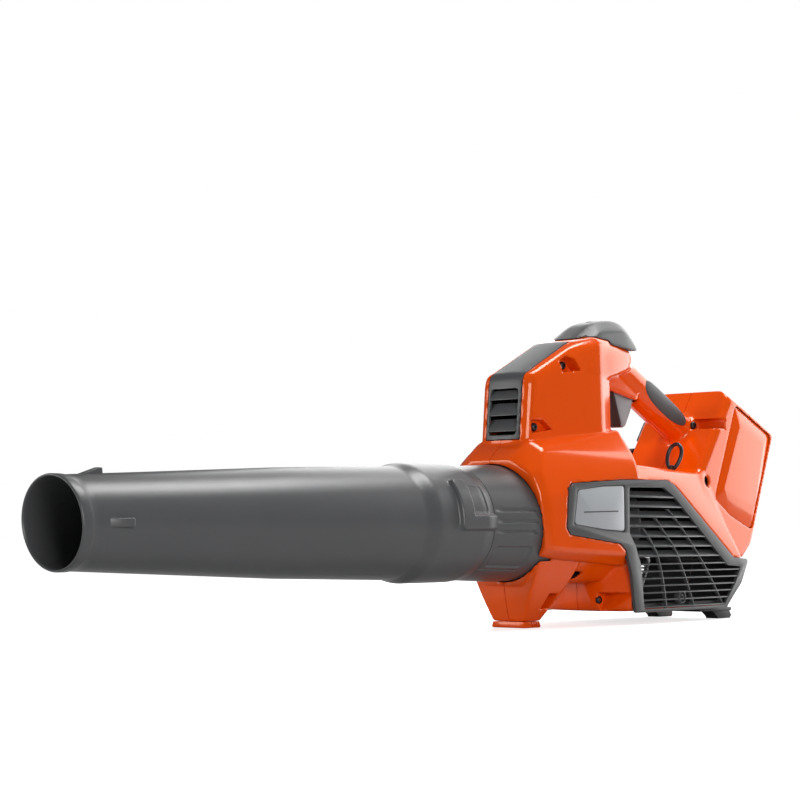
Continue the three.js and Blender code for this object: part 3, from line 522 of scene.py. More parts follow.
# ------------------------ the housing's shape
AXIS_Z = 100.0          # height of the blow tube's axis
WALL = 3.1
SIDE = 61.0             # half the width over the intake chamber
BAND_HALF = 20.0        # half the width of the grey band in front
HANDLE_START = np.array([140.0, 270.6])
HANDLE_END = np.array([285.0, 196.0])
HANDLE_HALF_WIDTH = 16.5
HANDLE_HALF_DEPTH = 17.5
HANDLE_LENGTH = np.linalg.norm(HANDLE_END - HANDLE_START)
HANDLE_RUN = (HANDLE_END - HANDLE_START) / HANDLE_LENGTH
COLLAR_RADIUS = 56.4    # bore for the coupling tube
PACK_SLOPE = math.radians(27)


def in_slot(along, across):
    """A point given along and across the battery slot, as x, z."""
    return (320 + along * math.cos(PACK_SLOPE) + across * math.sin(PACK_SLOPE),
            150 - along * math.sin(PACK_SLOPE) + across * math.cos(PACK_SLOPE))


def slot_outline(along0, along1, across0, across1):
    """A rectangle in line with the battery slot, as [x, z] points."""
    corners = [(along0, across0), (along1, across0), (along1, across1), (along0, across1)]
    return [in_slot(along, across) for along, across in corners]


def collar_ring(offset, ring):
    """[y, z] points on the leaning front face of the barrel, moved back by the offset."""
    return [(-30 - 0.14 * (z - AXIS_Z) + offset, side * y, z) for y, z in ring for side in (-1, 1)]


barrel = convex(
    collar_ring(0, [(24, 160), (48, 146), (57, 124), (58, 104), (58, 77), (50, 69)])
    + collar_ring(9, [(30, 168), (54, 148), (61, 122), (61, 75), (51, 67)])
    + collar_ring(25, [(30, 179), (46, 169)]) + both_sides(36, [(120, 193)]) + both_sides(30, [(150, 165)])
    + both_sides(56, [(120, 165)]) + both_sides(61, [(120, 150), (130, 68)])
    + both_sides(50, [(106, 58), (130, 58)]), 0.55)
keel = convex(
    collar_ring(2, [(46, 80), (43, 62), (27, 43), (20, 40)]) + both_sides(44, [(118, 80), (118, 60)])
    + both_sides(26, [(110, 42)]), 0.9)
leg = convex(
    both_sides(45, [(-20, 70), (46, 66)]) + both_sides(37, [(-18, 46), (39, 45)])
    + both_sides(29.5, [(-17, 30), (31, 30)]) + both_sides(20, [(-11, 6.3), (12, 6.3)]), 0.6)
chamber = convex(
    both_sides(SIDE, [(113, 20), (290, 20), (310, 62), (182, 143), (113, 143)])
    + both_sides(53, [(110, 12.5), (284, 12.5)]) + both_sides(20, [(97, 18), (100, 12.5), (97, 140)])
    + both_sides(50, [(120, 160), (185, 153), (248, 152)]), 1.5)
tower = convex(
    both_sides(36, [(92, 278), (97, 170)])
    + both_sides(30, [(-13.5, 170), (-8, 236), (-5, 242), (30, 259.5), (53, 273.5)])
    + both_sides(26, [(-18.5, 172), (-13, 238), (-9, 243.5)])
    + both_sides(20.5, [(-11, 243.5), (31, 264), (58, 278.5)])
    + both_sides(12, [(-22, 172), (-14.5, 239), (-11, 244.5), (31, 265.5), (60, 279.5)])
    + both_sides(28, [(92, 285), (118, 283), (118, 172)]), 0.7)
head = convex(
    both_sides(35.5, [(70, 250), (92, 279), (114, 274), (112, 243)])
    + both_sides(31, [(142, 274), (138, 249)])
    + both_sides(26, [(88, 286), (150, 281), (164, 277), (158, 252)])
    + both_sides(16, [(179, 271), (175, 257)]), 2.2)
battery_box = convex(
    both_sides(50, [(244, 147), (306, 233), (389, 196), (341, 78), (323, 63), (262, 84)])
    + both_sides(47.5, [(241, 147), (303, 235)])
    + both_sides(38, [(307, 242), (384, 204), (389, 196)]), 0.8)
trigger_root = convex(both_sides(14, [(114, 240), (146, 235.5), (186, 226.5), (192, 240), (114, 262)]), 0.8)
hump = convex(
    both_sides(12, [(75, 281), (106, 300.5), (124, 305), (146, 307), (158, 305), (173, 297), (183, 279.5)])
    + both_sides(26, [(91, 283), (104, 291), (152, 294), (172, 276)])
    + both_sides(29.5, [(96, 281), (156, 275)]), 0.9)


def handle(p):
    """The oval handle bar."""
    x, z = p[:, 0] - HANDLE_START[0], p[:, 2] - HANDLE_START[1]
    along = x * HANDLE_RUN[0] + z * HANDLE_RUN[1]
    across = -x * HANDLE_RUN[1] + z * HANDLE_RUN[0]
    around = np.hypot(p[:, 1] / HANDLE_HALF_WIDTH, across / HANDLE_HALF_DEPTH) - 1
    return np.maximum(around * HANDLE_HALF_WIDTH, np.maximum(-along, along - HANDLE_LENGTH))


def outside(p):
    """The housing's outer skin, before anything is cut from it."""
    body = soft_min(barrel(p), chamber(p), 2.0)
    body = soft_min(body, soft_min(keel(p), leg(p), 1.0), 0.5)
    body = soft_min(body, soft_min(tower(p), head(p), 3), 1.6)
    body = soft_min(body, trigger_root(p), 1.2)
    body = soft_min(body, battery_box(p), 7)
    handle_fillet = np.where(p[:, 0] < 210, 2.5, 9)
    body = soft_min(body, handle(p), handle_fillet)
    return soft_max(body, np.abs(p[:, 1]) - SIDE, 1.2)


BAND = [(-60, 180), (-60, 310), (60, 310), (60, 271), (50, 268), (4, 245), (-6, 238), (-14, 180)]
PANEL = [
    (14, 137.5), (92, 142), (170, 143), (182, 138), (289, 64), (317, 62), (303, 37),
    (285, 22), (274, 12), (112, 11.5), (106, 50), (97, 74), (88, 80), (8, 89), (3, 95), (6, 132),
]
SIDE_PAD = rounded([(315, 226.5), (385.5, 195), (343.5, 92.5), (300.6, 108.6), (272, 126.5)], 7)
SIDE_PAD_TOP = rounded([(321, 204), (365.5, 181), (347, 115.5), (287, 134.5)], 5)


def housing(p):
    """The housing with what both halves share, given on the left side."""
    skin = outside(p)
    shell = np.maximum(skin, -(skin + WALL))
    cradle = inside_prism(p, slot_outline(-52, 45, -46, -43), 50)
    rails = inside_prism(p, slot_outline(-40, 44, 18, 24), 50)
    rails = np.maximum(rails, -inside_prism(p, slot_outline(-60, 60, -10, 40), 43))
    pad_seat = inside_prism(p, SIDE_PAD, 4, -47) - 2
    for added in (cradle, rails, pad_seat):
        shell = np.minimum(shell, np.maximum(added, skin))
    shell = cut(shell, inside_prism(p, SIDE_PAD, 5, -51), 0.3)
    tube_bore = on_tube_axis(p, COLLAR_RADIUS, -80, -2)
    band_seat = inside_prism(p, BAND, BAND_HALF + 0.4) - 0.4
    battery_slot = inside_prism(p, slot_outline(-43, 90, -43, 67), 42.9)
    trigger_slot = inside_box(p, (138, -9, 205), (194, 9, 257))
    keypad_hole = inside_box(p, (104, -20, 270), (158, 20, 320))
    for opening in (tube_bore, band_seat, battery_slot, trigger_slot, keypad_hole):
        shell = cut(shell, opening)
    return cut(shell, inside_prism(p, PANEL, 4, -SIDE) - 0.5, 0.5)


LEFT_POCKETS = [        # [x, z] outline and the y of the floor; the last one is the drain through the keel
    ([(-11, 199), (6, 199), (19, 190), (-11, 186)], -23),
    ([(31, 257), (42, 263), (53, 260), (62, 250), (35, 246)], -20),
    ([(13, 32.5), (27, 32.5), (20, 18), (6, 18)], -9),
    ([(90, 31), (112, 31), (104, 13), (84, 13)], -24),
    ([(42, 54), (60, 52.5), (55, 46.5), (42, 45.5)], -22),
]


def box_screw_hole(p):
    """The deep round hole at the foot of the battery box."""
    return np.maximum(np.hypot(p[:, 0] - 256, p[:, 2] - 143) - 6.2, p[:, 1] + 38)


def left_pockets(p):
    """Pockets in the left half only: screw seats, the slot in the leg, the hole in the battery box."""
    outer = -70
    found = []
    for outline, floor in LEFT_POCKETS:
        found.append(inside_prism(p, outline, (floor - outer) / 2, (floor + outer) / 2))
    handle_channel = np.maximum(np.abs(p[:, 0] - 281) - 13, np.abs(p[:, 2] - 205) - 5.4)
    found.append(np.maximum(handle_channel, p[:, 1] + 17))
    found.append(box_screw_hole(p))
    return np.minimum.reduce(found)


def left_housing(p):
    """The housing with the left half's pockets, each with a wall of its own."""
    pockets = left_pockets(p)
    shell = np.minimum(housing(p), np.maximum(pockets - 2.2, outside(p)))
    return cut(shell, pockets, 0.6)


SEAM_Y = -0.35          # where the left half ends, just short of the centre plane
HOUSING_STEP = 1.7
ROWS_TO_SEAM = math.ceil(64 / HOUSING_STEP)
NET_CORNER = (-44.0, SEAM_Y - (ROWS_TO_SEAM - 0.5) * HOUSING_STEP, 2.0)


def raised_pad():
    """The raised pad on the side of the battery box, a seam's width smaller than its hole."""
    centre = Vector((330, 150))
    foot = [centre + (Vector(point) - centre) * 0.983 for point in SIDE_PAD]
    pad = hull("side_pad", [(x, y, z) for x, z in foot for y in (-45, -48.3)] + [
        (x, -51.4, z) for x, z in SIDE_PAD_TOP])
    return bevel(pad, 1.0, 2, 10)


def housing_half(name, shape):
    """A half on the left of the seam, with the raised pad in its hole."""
    values = sample(shape, NET_CORNER, (394, 5, 292), HOUSING_STEP)
    past_seam = NET_CORNER[1] + np.arange(values.shape[1]) * HOUSING_STEP - SEAM_Y
    values = np.maximum(values, past_seam[None, :, None])
    points, quads = surface_net(values, shape, NET_CORNER, HOUSING_STEP, SEAM_Y)
    return joined(name, [mesh_piece("shell", points, quads.tolist()), raised_pad()])


def paint_shade_inside(half_shell):
    """Painted shade: blackens the orange wall's inner faces that show through the grille, the vent, the
    drain, the deep hole and the pad's seam, where they lie in shade.
    """
    centres = np.empty(len(half_shell.data.polygons) * 3)
    half_shell.data.polygons.foreach_get("center", centres)
    centres = centres.reshape(-1, 3) / MM
    at_left = centres * [1, -np.sign(centres[0, 1]), 1]
    drain = inside_prism(at_left, LEFT_POCKETS[-1][0], 60) < 0.8
    deep_hole = box_screw_hole(at_left) < 0.8
    under_pad = (inside_prism(at_left, SIDE_PAD, 6, -50) < 0.8) & (at_left[:, 1] > -47.6)
    chamber_or_tower = ((centres[:, 2] < 152) | (centres[:, 0] < 60)) & (left_pockets(at_left) > 1.2)
    deep_in_wall = outside(at_left) < -0.6 * WALL
    behind_panel = inside_prism(at_left, PANEL, 6, -SIDE) < -1.2
    # painted shade: inner faces that lie in shade take the black plastic
    painted_shade = deep_in_wall & (drain | deep_hole | under_pad | chamber_or_tower) | behind_panel
    half_shell.data.materials.append(BLACK)
    half_shell.data.polygons.foreach_set("material_index", painted_shade.astype(np.int32))


left_half = housing_half("housing_left", left_housing)
plain_half = housing_half("plain_half", housing)
right_half = mirrored_copy(plain_half, "housing_right")
bpy.data.objects.remove(plain_half)
for shell, name in ((left_half, "housing_left"), (right_half, "housing_right")):
    finish_piece(shell, ORANGE, name)
    # painted shade: black on the inner faces seen through the openings
    paint_shade_inside(shell)


# ------------------------ vent and keypad cap
VENT_STEP = 1.0
BUTTON_X = {"power": 126, "boost": 146}


def band_skin(p):
    """The grey band over the front of the tower, with the vent's window."""
    skin = soft_min(tower(p), head(p), 3)
    shell = np.maximum(skin - 0.3, -(skin + 3.0))
    width = soft_max(inside_prism(p, BAND, 40), np.abs(p[:, 1]) - BAND_HALF, 2.2)
    band = soft_max(shell, width, 0.6)
    past_side = np.maximum(np.abs(p[:, 1]) - 13, 0)
    past_end = np.maximum(np.abs(p[:, 2] - 206.9) - 18.4, 0)
    window = np.hypot(past_side, past_end) - 4
    return cut(band, np.maximum(window, p[:, 0] + 4), 0.6)


def louvre(z):
    """A thin blade across the vent, from z at the front up towards the rear."""
    face = -20.3 + 0.12 * (z - 187)
    low, top = max(z, 184), min(z + 12.4, 228)
    front, back = face + 0.58 * (low - z), face + 0.58 * (top - z)
    blade = hull("louvre", both_sides(17.4, [
        (front, low), (front + 0.1, low + 0.9), (back, top), (back + 1.6, top - 0.4), (front + 1.8, low),
    ]))
    return bevel(blade, 0.3, 2)


band = net_piece("front_vent", band_skin, (-28, -24, 174), (64, 24, 292), VENT_STEP)
vent = joined("front_vent", [band] + [louvre(172.4 + 15.4 * i) for i in range(4)])
finish_piece(vent, GREY, "front_vent")


def cap_shape(p):
    """The hollow keypad cap, cut to the housing below it, with its two button holes."""
    shell = np.maximum(hump(p), -(hump(p) + 2.6))
    shell = soft_max(shell, -(outside(p) - 0.5), 0.6)
    for x in BUTTON_X.values():
        hole = np.maximum(np.hypot(p[:, 0] - x, p[:, 1]) - 6.2, 288 - p[:, 2])
        shell = cut(shell, hole, 0.6)
    return shell


cap = net_piece("keypad_cap", cap_shape, (54, -32, 262), (184, 32, 308), VENT_STEP)
finish_piece(cap, GREY, "keypad_cap")
for name, x in BUTTON_X.items():
    button = turned(name + "_button", [
        (0, 5.6), (8.4, 5.9), (9.1, 5.6), (9.5, 4.8), (9.7, 3.0), (9.6, 1.0)], (x, 0, 295), (0, 0, 1), 40)
    finish_piece(button, GREY, name + "_button", name + "_key")


# ------------------------ intake panels and labels
GRILLE = [
    (103, 135), (162, 135.5), (180, 127), (278, 56), (303, 54.5), (291, 37), (270, 15),
    (126, 14.5), (121.5, 58), (112, 78), (102.5, 90),
]
LABEL_OUTLINE = [(20, 131), (60, 135), (94, 136), (94, 92), (60, 94), (14, 99)]
LABEL_RECESS = [(18.5, 132.5), (60, 136.5), (95.5, 137.5), (95.5, 90.5), (60, 92.5), (12.5, 97.5)]
BAR_HEIGHTS = [125.6 - 9.85 * i for i in range(7)] + [58.7 - 7.1 * i for i in range(7)]
RIBS = [
    [(165, 14), (159, 44), (151, 66), (144, 76), (136, 85), (125, 95)],
    [(215, 14), (197, 49), (181, 74), (164, 89), (156, 97), (147, 105)],
    [(268, 14), (255, 32), (229, 62), (198, 91), (177, 108), (168, 114)],
]
PANEL_SCREW = (193, 25)


def span_at(outline, z):
    """Where the outline starts and ends at one height."""
    hits = []
    for (ax, az), (bx, bz) in zip(outline, outline[1:] + outline[:1]):
        if (az > z) != (bz > z):
            hits.append(ax + (bx - ax) * (z - az) / (bz - az))
    return min(hits), max(hits)


def smooth_line(line, steps):
    """A smooth curve through the [x, z] points."""
    points = [Vector(p) for p in line]
    points = [2 * points[0] - points[1], *points, 2 * points[-1] - points[-2]]
    result = []
    for i in range(1, len(points) - 2):
        is_last = i == len(points) - 3
        for step in range(steps + is_last):
            t = step / steps
            a, b, c, d = points[i - 1:i + 3]
            square, cube = 2 * a - 5 * b + 4 * c - d, 3 * b - a - 3 * c + d
            result.append(tuple(0.5 * (2 * b + (c - a) * t + square * t * t + cube * t ** 3)))
    return result


def grille_bar(z):
    """A bar of the grille: deep sloping blades above, shallow level ones below."""
    start, end = span_at(GRILLE, z)
    rise, depth = (5.6, 7.0) if z > 62 else (0.8, 4.0)
    section = [(-61, 0.7), (-61, -0.7), (-61 + depth, rise - 0.7), (-61 + depth, rise + 0.7)]
    blade = hull("blade", [(x, y, z + h) for x in (start - 1.2, end + 1.2) for y, h in section])
    return bevel(blade, 0.45, 2, 40)


def grille_rib(line):
    """A thin curved rib across the bars."""
    front = smooth_line(line, 6)
    rear = [(x + 1.5, z) for x, z in reversed(front)]
    return bevel(prism("rib", front + rear, -61.1, -57.2), 0.4, 2, 60)


def intake_panel(name):
    """The left panel: a plate with the label's recess, and the grille in its window."""
    plate = prism(name, rounded(PANEL, 3.5, 4), -61.4, -58)
    carve(plate, prism("window", rounded(GRILLE, 3, 4), -70, -50))
    carve(plate, prism("label_recess", rounded(LABEL_RECESS, 3, 4), -70, -60.2))
    bevel(plate, 0.7, 3, 40)
    seat = turned("screw_seat", [
        (6.0, 5.0), (0.4, 5.0), (0, 5.4), (0.2, 6.0), (0.9, 6.4), (6.6, 6.4),
    ], (PANEL_SCREW[0], -61.8, PANEL_SCREW[1]), (0, 1, 0), 40)
    bars = [grille_bar(z) for z in BAR_HEIGHTS]
    ribs = [grille_rib(line) for line in RIBS]
    return joined(name, [plate, *bars, *ribs, seat])


finish_both(intake_panel("intake_panel_left"), GREY, "intake_panel")

RULE_LINE = [(28, 109.6), (84, 110.8), (84, 112.0), (28, 110.8)]
label = joined("label_plate_left", [
    bevel(prism("plate", rounded(LABEL_OUTLINE, 4, 5), -61.35, -60.4), 0.25, 2, 60),
    prism("rule_line", RULE_LINE, -61.5, -61.2),
])
for plate in finish_both(label, LABEL, "label_plate"):
    plate.data.materials.append(DARK)
    for polygon in plate.data.polygons:
        is_rule_line = abs(polygon.center.y) > 61.36 * MM
        polygon.material_index = int(is_rule_line)


# ------------------------ blow tube
MM_PER_DEGREE = 0.96    # round the outside of the tube


def smooth_step(value, low, high):
    """0 below low, 1 above high, and a smooth rise between them."""
    t = np.clip((value - low) / (high - low), 0, 1)
    return t * t * (3 - 2 * t)


def piecewise(points):
    """A function that runs straight from point to point."""
    xs, values = zip(*points)
    return lambda x: np.interp(x, xs, values)


def patch(x, turn, x_range, turn_range, corner):
    """Signed distance to a rounded patch of the tube's wall, its turns in degrees."""
    (x0, x1), (turn0, turn1) = x_range, turn_range
    dx = np.abs(x - (x0 + x1) / 2) - (x1 - x0) / 2 + corner
    dt = (np.abs(turn - (turn0 + turn1) / 2) - (turn1 - turn0) / 2) * MM_PER_DEGREE + corner
    return np.hypot(np.maximum(dx, 0), np.maximum(dt, 0)) + np.minimum(np.maximum(dx, dt), 0) - corner


def field_tube(xs, turns, outer, inner):
    """A closed tube along X, whose two radii are functions of x and of the turn in degrees."""
    x_grid, turn_grid = np.meshgrid(xs, turns, indexing="ij")
    rows, columns = x_grid.shape
    angle = np.radians(turn_grid)
    walls = []
    for radius in (outer, inner):
        r = radius(x_grid, turn_grid)
        walls.append(np.stack([x_grid, -r * np.sin(angle), AXIS_Z + r * np.cos(angle)], axis=-1))
    out_and_back = np.concatenate([walls[0], walls[1][::-1]])
    return out_and_back.reshape(-1, 3), reversed_faces(ring_faces(2 * rows, columns, closed=True))


MOUTH_X = -559.0
MOUTH_TILT = math.tan(math.radians(4.8))
FINE_TURNS = np.concatenate([np.arange(0, 44, 4), np.arange(44, 104, 0.8), np.arange(104, 360, 4)])
TUBE_XS = np.concatenate([
    [-563, -562.5, -561.5, -559, -555, -552.5, -551], np.arange(-545, -195, 12),
    np.arange(-192, -150, 2), np.arange(-150, -97.5, 0.8), [-98.0, -97.4, -97.0],
])
nozzle_outer = piecewise([
    (-563, 36.9), (-562.5, 37.5), (-561.5, 37.8), (-553, 37.8), (-551.5, 37.1), (-469, 40.7),
    (-330, 47.0), (-190, 51.0),
])
nozzle_inner = piecewise([
    (-563, 36.4), (-562, 35.6), (-469, 38.5), (-330, 45), (-175, 49), (-160, 52.5), (-97, 52.5),
])


def sleeve(x, turn):
    """The front tube's outer radius, with the raised L and the plain flat beside it on the sleeve."""
    flare = 3.6 * smooth_step(x, -189, -169)
    base = nozzle_outer(x) + flare - 1.1 * smooth_step(x, -112, -97.5)
    round_leg = patch(x, turn, (-147, -128), (46, 97), 5)
    back_leg = patch(x, turn, (-147, -85), (82, 97), 5)
    boss = 4.2 * smooth_step(-np.minimum(round_leg, back_leg), -1.2, 2.2)
    plain_flat = patch(x, turn, (-128, -106), (52, 80), 3)
    return base + boss - 0.7 * smooth_step(-plain_flat, -0.8, 0.8) * (boss < 0.5)


def mouth_wedge(turn):
    """A small wedge on the mouth's rim, at the turn in degrees."""
    wedge = hull("wedge", both_sides(3.5, [
        (MOUTH_X + 10, 30), (MOUTH_X + 22, 37.6), (MOUTH_X + 40, 43.2), (MOUTH_X + 43, 43.0),
        (MOUTH_X + 44, 30),
    ]))
    bevel(wedge, 0.8, 3)
    upright = Matrix.Translation((0, 0, AXIS_Z * MM))
    wedge.data.transform(upright @ Matrix.Rotation(math.radians(turn), 4, "X"))
    carve(wedge, bar("bore", (MOUTH_X - 20, 0, AXIS_Z), (MOUTH_X + 60, 0, AXIS_Z), 37.4, 64))
    return wedge


points, faces = field_tube(TUBE_XS, FINE_TURNS, sleeve, lambda x, turn: nozzle_inner(x))
near_mouth = 1 - smooth_step(points[:, 0], MOUTH_X, MOUTH_X + 70)
points[:, 0] -= MOUTH_TILT * (points[:, 2] - AXIS_Z) * near_mouth
tube = mesh_piece("nozzle_tube", points, faces)
nozzle = joined("nozzle_tube", [tube] + [mouth_wedge(turn) for turn in (0, 90, 270)])
finish_piece(nozzle, TUBE, "nozzle_tube", "nozzle", angle=50)

COUPLING_XS = np.concatenate([
    [-149.8, -149, -140, -120, -100, -96, -95.7, -95.4], np.arange(-94.6, -36, 1.2),
    [-35, -30, -22, -12, -5, -3.6, -3.0],
])
COUPLING_TURNS = np.concatenate([np.arange(0, 72, 4), np.arange(72, 150, 0.7), np.arange(150, 360, 5)])
coupling_outer = piecewise([
    (-149.8, 51.6), (-149, 52.0), (-95.8, 52.0), (-95.4, 53.1), (-45, 55.4), (-4, 55.4), (-3, 54.9),
])
coupling_inner = piecewise([(-149.8, 50.2), (-149, 49.7), (-93, 49.7), (-3, 52.4)])


def coupling_radius(x, turn):
    """The rear tube's outer radius, with its grooves, a shallow recess and a thin line on each side."""
    radius = coupling_outer(x)
    from_top = np.minimum(turn, 360 - turn)
    for centre in (77.5, 88.5, 99):
        groove = patch(x, from_top, (-96, -35), (centre - 1.6, centre + 1.6), 1.2)
        radius = radius - 1.5 * smooth_step(-groove, -0.7, 0.9) * smooth_step(x, -96, -82)
    recess = patch(x, from_top, (-90, -38), (114, 139), 4)
    radius = radius - 1.1 * smooth_step(-recess, -1.0, 1.0)
    line = patch(x, from_top, (-97, -40), (142, 144), 1)
    return radius - 0.6 * smooth_step(-line, -0.6, 0.6)


points, faces = field_tube(
    COUPLING_XS, COUPLING_TURNS, coupling_radius, lambda x, turn: coupling_inner(x))
coupling = mesh_piece("coupling_tube", points, faces)
finish_piece(coupling, TUBE, "coupling_tube", angle=50)


# ------------------------ handle pads, trigger, buttons
def handle_surface(along, turn, lift):
    """A point near the handle's left side: along it in mm, and round it from the side to the top."""
    x, z = HANDLE_START + HANDLE_RUN * along
    across = (HANDLE_HALF_DEPTH + lift) * math.sin(turn)
    y = -(HANDLE_HALF_WIDTH + lift) * math.cos(turn)
    return (x - HANDLE_RUN[1] * across, y, z + HANDLE_RUN[0] * across)


def signed_power(value, power):
    return math.copysign(abs(value) ** power, value)


def grip_pad(name):
    """A crowned oval pad that hugs the side of the handle."""
    middle, half_length = 104.0, 41.5
    half_turn, turn_up = math.radians(41), math.radians(12)
    rings = [   # share of the way out to the rim, and height above the handle
        (0.25, 0.9), (0.5, 0.9), (0.7, 0.88), (0.84, 0.8),
        (0.92, 0.62), (0.97, 0.3), (1.0, -0.2), (1.0, -1.2),
    ]
    count = 56
    points = []
    for reach, lift in rings:
        for i in range(count):
            phase = 2 * math.pi * i / count
            u = signed_power(math.cos(phase), 0.75) * reach
            v = signed_power(math.sin(phase), 0.85) * reach
            points.append(handle_surface(middle + half_length * u, turn_up + half_turn * v, lift))
    outer_ring = len(points) - count
    points += [handle_surface(middle, turn_up, 0.9), handle_surface(middle, turn_up, -1.4)]
    faces = reversed_faces(ring_faces(len(rings), count))
    for i in range(count):
        j = (i + 1) % count
        faces.append((len(points) - 2, i, j))
        faces.append((len(points) - 1, outer_ring + j, outer_ring + i))
    return mesh_piece(name, points, faces)


finish_both(grip_pad("grip_pad_left"), GRIP, "grip_pad", angle=60)

TRIGGER_SHAPE = [
    (147.3, 247), (151.2, 235), (164, 200.5), (168, 197.7), (173, 200), (182.5, 216),
    (186, 227), (183.6, 240), (172, 263), (164, 268.5), (155, 265.5), (150.3, 255),
]
trigger = bevel(prism("trigger", rounded(TRIGGER_SHAPE, 3.5, 4), -8, 8), 2.0, 4, 50)
finish_piece(trigger, TRIGGER, "trigger", "trigger_body", angle=40)
# painted shade: the faces that look forward take the dark plastic, for the shade on the trigger's front
trigger.data.materials.append(DARK)
for polygon in trigger.data.polygons:
    painted_shade_front = polygon.normal.x < -0.5
    polygon.material_index = int(painted_shade_front)


# ------------------------ ring, clip, rest and feet
RING_AT = Vector((205, -42, 155.5))
RING_LEAN = math.radians(20)


def wire_loop(name, half_width, height, thickness):
    """A closed wire loop that stands on its pivot and leans back."""
    count, sides = 56, 10
    lean = Matrix.Rotation(RING_LEAN, 3, "Y")
    points = []
    for i in range(count):
        phase = 2 * math.pi * i / count
        radial = Vector((0, math.sin(phase), -math.cos(phase)))
        egg_half_width = half_width * (1 - 0.12 * math.cos(phase))
        centre = Vector((0, egg_half_width * math.sin(phase), height / 2 * (1 - math.cos(phase))))
        for k in range(sides):
            spin = 2 * math.pi * k / sides
            side = radial * math.cos(spin) + Vector((1, 0, 0)) * math.sin(spin)
            points.append(lean @ (centre + side * thickness) + RING_AT)
    return mesh_piece(name, points, ring_faces(count, sides, closed=True))


ring = wire_loop("hanging_ring", 8.2, 27.4, 2.05)
finish_piece(ring, BLACK_STEEL, "hanging_ring", "ring_body", angle=80)

eye_points = [
    (RING_AT.x + side * half, y, z)
    for half, z in ((4, 153), (2.6, 159.4)) for side in (-1, 1) for y in (-44.4, -39.6)
]
clip = joined("ring_clip", [
    bevel(block("clip_base", (200.8, -47.2, 150.6), (209.2, -36.8, 153.4)), 0.8, 3),
    bevel(hull("clip_eye", eye_points), 1.0, 3),
])
pin_from, pin_to = RING_AT - Vector((0, 8, 0)), RING_AT + Vector((0, 8, 0))
carve(clip, bar("pin_hole", pin_from, pin_to, 2.6))
finish_piece(clip, DARK, "ring_clip")

rest = joined("side_rest", [
    bevel(prism("rest_bar", [(279, 190), (294, 211), (306, 205), (290, 184)], 50.3, 54.8), 1.0, 3),
    bevel(prism("rest_leg", [(266, 172), (279.5, 190.7), (290.5, 184.7), (277, 166)], 50.3, 52.8), 0.8, 3),
    turned("rest_knob", [(0, 6.5), (6.5, 6.5), (7.6, 5.6), (8, 4.2)], (270, 50.3, 175), (0, 1, 0), 36),
])
finish_piece(rest, DARK, "side_rest")

FOOT_HALF_WIDTH = 20.8
foot = hull(
    "front_foot", both_sides(FOOT_HALF_WIDTH - 0.9, [(-11, 0), (11, 0)])
    + both_sides(FOOT_HALF_WIDTH, [(-12, 1.2), (12, 1.2)])
    + both_sides(FOOT_HALF_WIDTH - 2, [(-12, 6), (12, 6)]))
bevel(foot, 0.5, 2)
for i in range(4):
    x = -0.5 + 3.4 * i
    carve(foot, block("foot_notch", (x - 1.0, -40, 1.2), (x + 1.0, -14.5, 8)))
finish_piece(foot, ORANGE, "front_foot")

REAR_FOOT = [(266, 12.2), (281, 2.5), (283, 0), (306, 0), (309, 3), (302, 12.2)]
REAR_FOOT_Y = 37.2
base_plate = bevel(block("base_plate", (236, -53, 8.5), (296, 53, 12.2)), 0.8, 2)
rear_feet = [
    bevel(prism("rear_foot", rounded(REAR_FOOT, 1.2, 3), y - 7.5, y + 7.5), 0.8, 3, 50)
    for y in (-REAR_FOOT_Y, REAR_FOOT_Y)
]
finish_piece(joined("base_cover", [base_plate, *rear_feet]), DARK, "base_cover")


# ------------------------ battery pack
def slot_point(along, across, y=0):
    """The same place in the battery slot as a point."""
    x, z = in_slot(along, across)
    return Vector((x, y, z))


def slot_prism(name, along0, along1, across0, across1, y0, y1):
    """A box in line with the battery slot."""
    return prism(name, slot_outline(along0, along1, across0, across1), y0, y1)


def slot_hull(name, along0, along1):
    """A piece of the pack, as wide and as high as the slot, with its edges cut off."""
    edge, half_width = 3, 42
    full = slot_outline(along0, along1, -42, 66)
    inset = slot_outline(along0 + edge, along1 - edge, -42 + edge, 66 - edge)
    return hull(name, both_sides(half_width - edge, full) + both_sides(half_width, inset))


case = bevel(slot_hull("battery_case", -42, 38), 1.2, 3)
for side in (-1, 1):
    carve(case, slot_prism("rail_slot", -43, 39, 16, 26, side * 42 - 1.5, side * 42 + 1.5))
    carve(case, slot_prism("blade_slot", -43, -34, -8, 12, side * 12 - 1, side * 12 + 1))
finish_piece(case, DARK, "battery_case", "battery")

CHARGE_ACROSS = 20      # how far up the lid the charge button and the level windows are
LID_END = 51
lid = bevel(slot_hull("battery_lid", 38.3, LID_END), 1.4, 3)
carve(lid, slot_prism("latch_pocket", 43.7, 60, 44.7, 64.3, -14.3, 14.3))
carve(lid, slot_prism("grip_recess", 48.4, 60, -30, 8, -30, 30))
carve(lid, bar("charge_hole", slot_point(46, CHARGE_ACROSS), slot_point(53, CHARGE_ACROSS), 4.3, 40))
for i in range(4):
    y = 10 + 5 * i
    window_floor = slot_point(LID_END - 0.6, CHARGE_ACROSS, y)
    carve(lid, bar("level_window", window_floor, slot_point(LID_END + 2, CHARGE_ACROSS, y), 1.4))
finish_piece(lid, GREY, "battery_lid", "battery")

latch = bevel(slot_prism("battery_latch", 44, 55, 48, 64, -14, 14), 1.6, 4)
for i in range(5):
    across = 51 + 2.5 * i
    carve(latch, slot_prism("latch_rib", 54.2, 57, across, across + 1.1, -11, 11))
finish_piece(latch, BLACK, "battery_latch", "battery_latch_body")

charge = turned("charge_button", [
    (0, 3.8), (3.4, 3.95), (4.0, 3.5), (4.2, 2.2),
], slot_point(48, CHARGE_ACROSS), slot_point(1, 0) - slot_point(0, 0), 36)
finish_piece(charge, WHITE, "charge_button", "charge_key")


# ------------------------ screws
HEAD_HEIGHT = 3.6


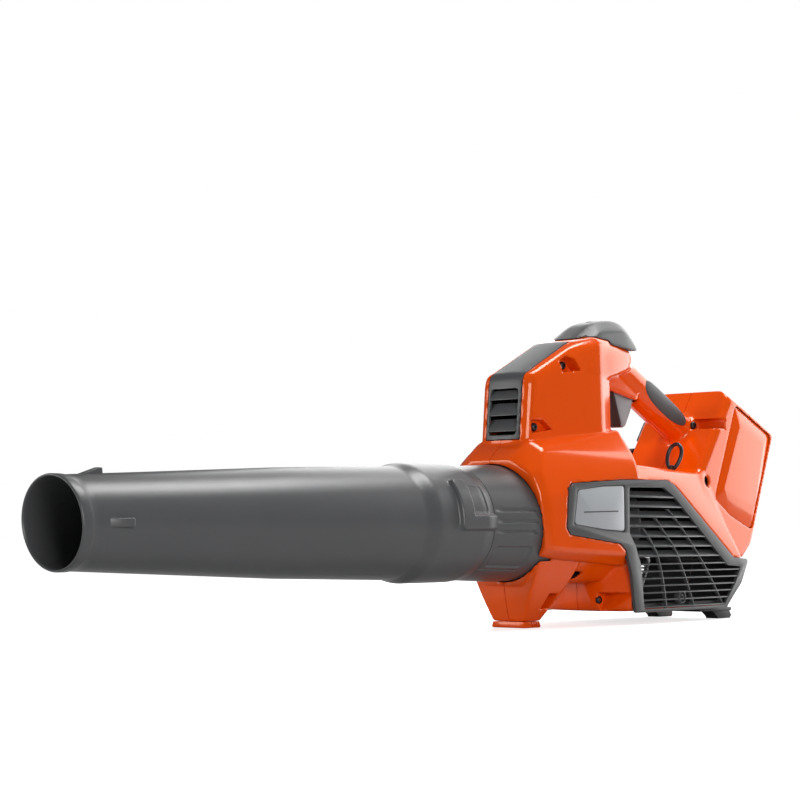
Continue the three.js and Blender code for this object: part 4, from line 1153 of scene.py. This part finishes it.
def screw_piece(name, x, z, seat, end):
    """A round-headed screw along Y with a six-sided socket, its head towards the left."""
    top = (x, seat - HEAD_HEIGHT, z)
    profile = [
        (0, 2.6), (0.5, 3.5), (1.4, 4.0), (3.3, 4.0), (3.35, 2.0), (end - seat + HEAD_HEIGHT, 1.6),
    ]
    screw = turned(name, profile, top, (0, 1, 0), 36)
    carve(screw, turned("socket", [(-1, 1.9), (1.8, 1.9)], top, (0, 1, 0), 6))
    return screw


SCREWS = {      # x, z, the y of the seat under the head, and the y of the tip
    "screw_tower_lower": (-1, 192, -23, 18), "screw_tower_upper": (46, 254, -22, 18),
    "screw_handle": (281, 204, -17, 14), "screw_belly": (102, 24, -22, 18), "screw_box": (256, 143, -38, 18),
}
for name, place in SCREWS.items():
    finish_piece(screw_piece(name, *place), BLACK_STEEL, name)
finish_both(screw_piece("screw_panel_left", *PANEL_SCREW, -57.2, -53), BLACK_STEEL, "screw_panel")


# ------------------------ floor
FLOOR_HALF = 30         # metres
NEAR_GLOW, FAR_GLOW = 0.72, 0.97
corners = [(FLOOR_HALF * x, FLOOR_HALF * y) for x, y in ((-1, -1), (1, -1), (1, 1), (-1, 1))]
floor_mesh = bpy.data.meshes.new("floor")
floor_mesh.from_pydata([(x, y, 0) for x, y in corners], [], [(0, 1, 2, 3)])
floor = new_object("floor", floor_mesh)
floor_material, nodes, links, shader = node_material("floor")
shader.inputs["Base Color"].default_value = (0.5, 0.5, 0.5, 1)
shader.inputs["Roughness"].default_value = 0.6
shader.inputs["Emission Color"].default_value = (1, 1, 1, 1)
from_origin = nodes.new("ShaderNodeVectorMath")
from_origin.operation = "LENGTH"
links.new(nodes.new("ShaderNodeTexCoord").outputs["Object"], from_origin.inputs[0])
glow = map_range(nodes, links, from_origin.outputs["Value"], (0.35, 0.9), (NEAR_GLOW, FAR_GLOW))
seen_glow = nodes.new("ShaderNodeMath")
seen_glow.operation = "MULTIPLY"
links.new(nodes.new("ShaderNodeLightPath").outputs["Is Camera Ray"], seen_glow.inputs[0])
links.new(glow, seen_glow.inputs[1])
links.new(seen_glow.outputs["Value"], shader.inputs["Emission Strength"])
floor_mesh.materials.append(floor_material)
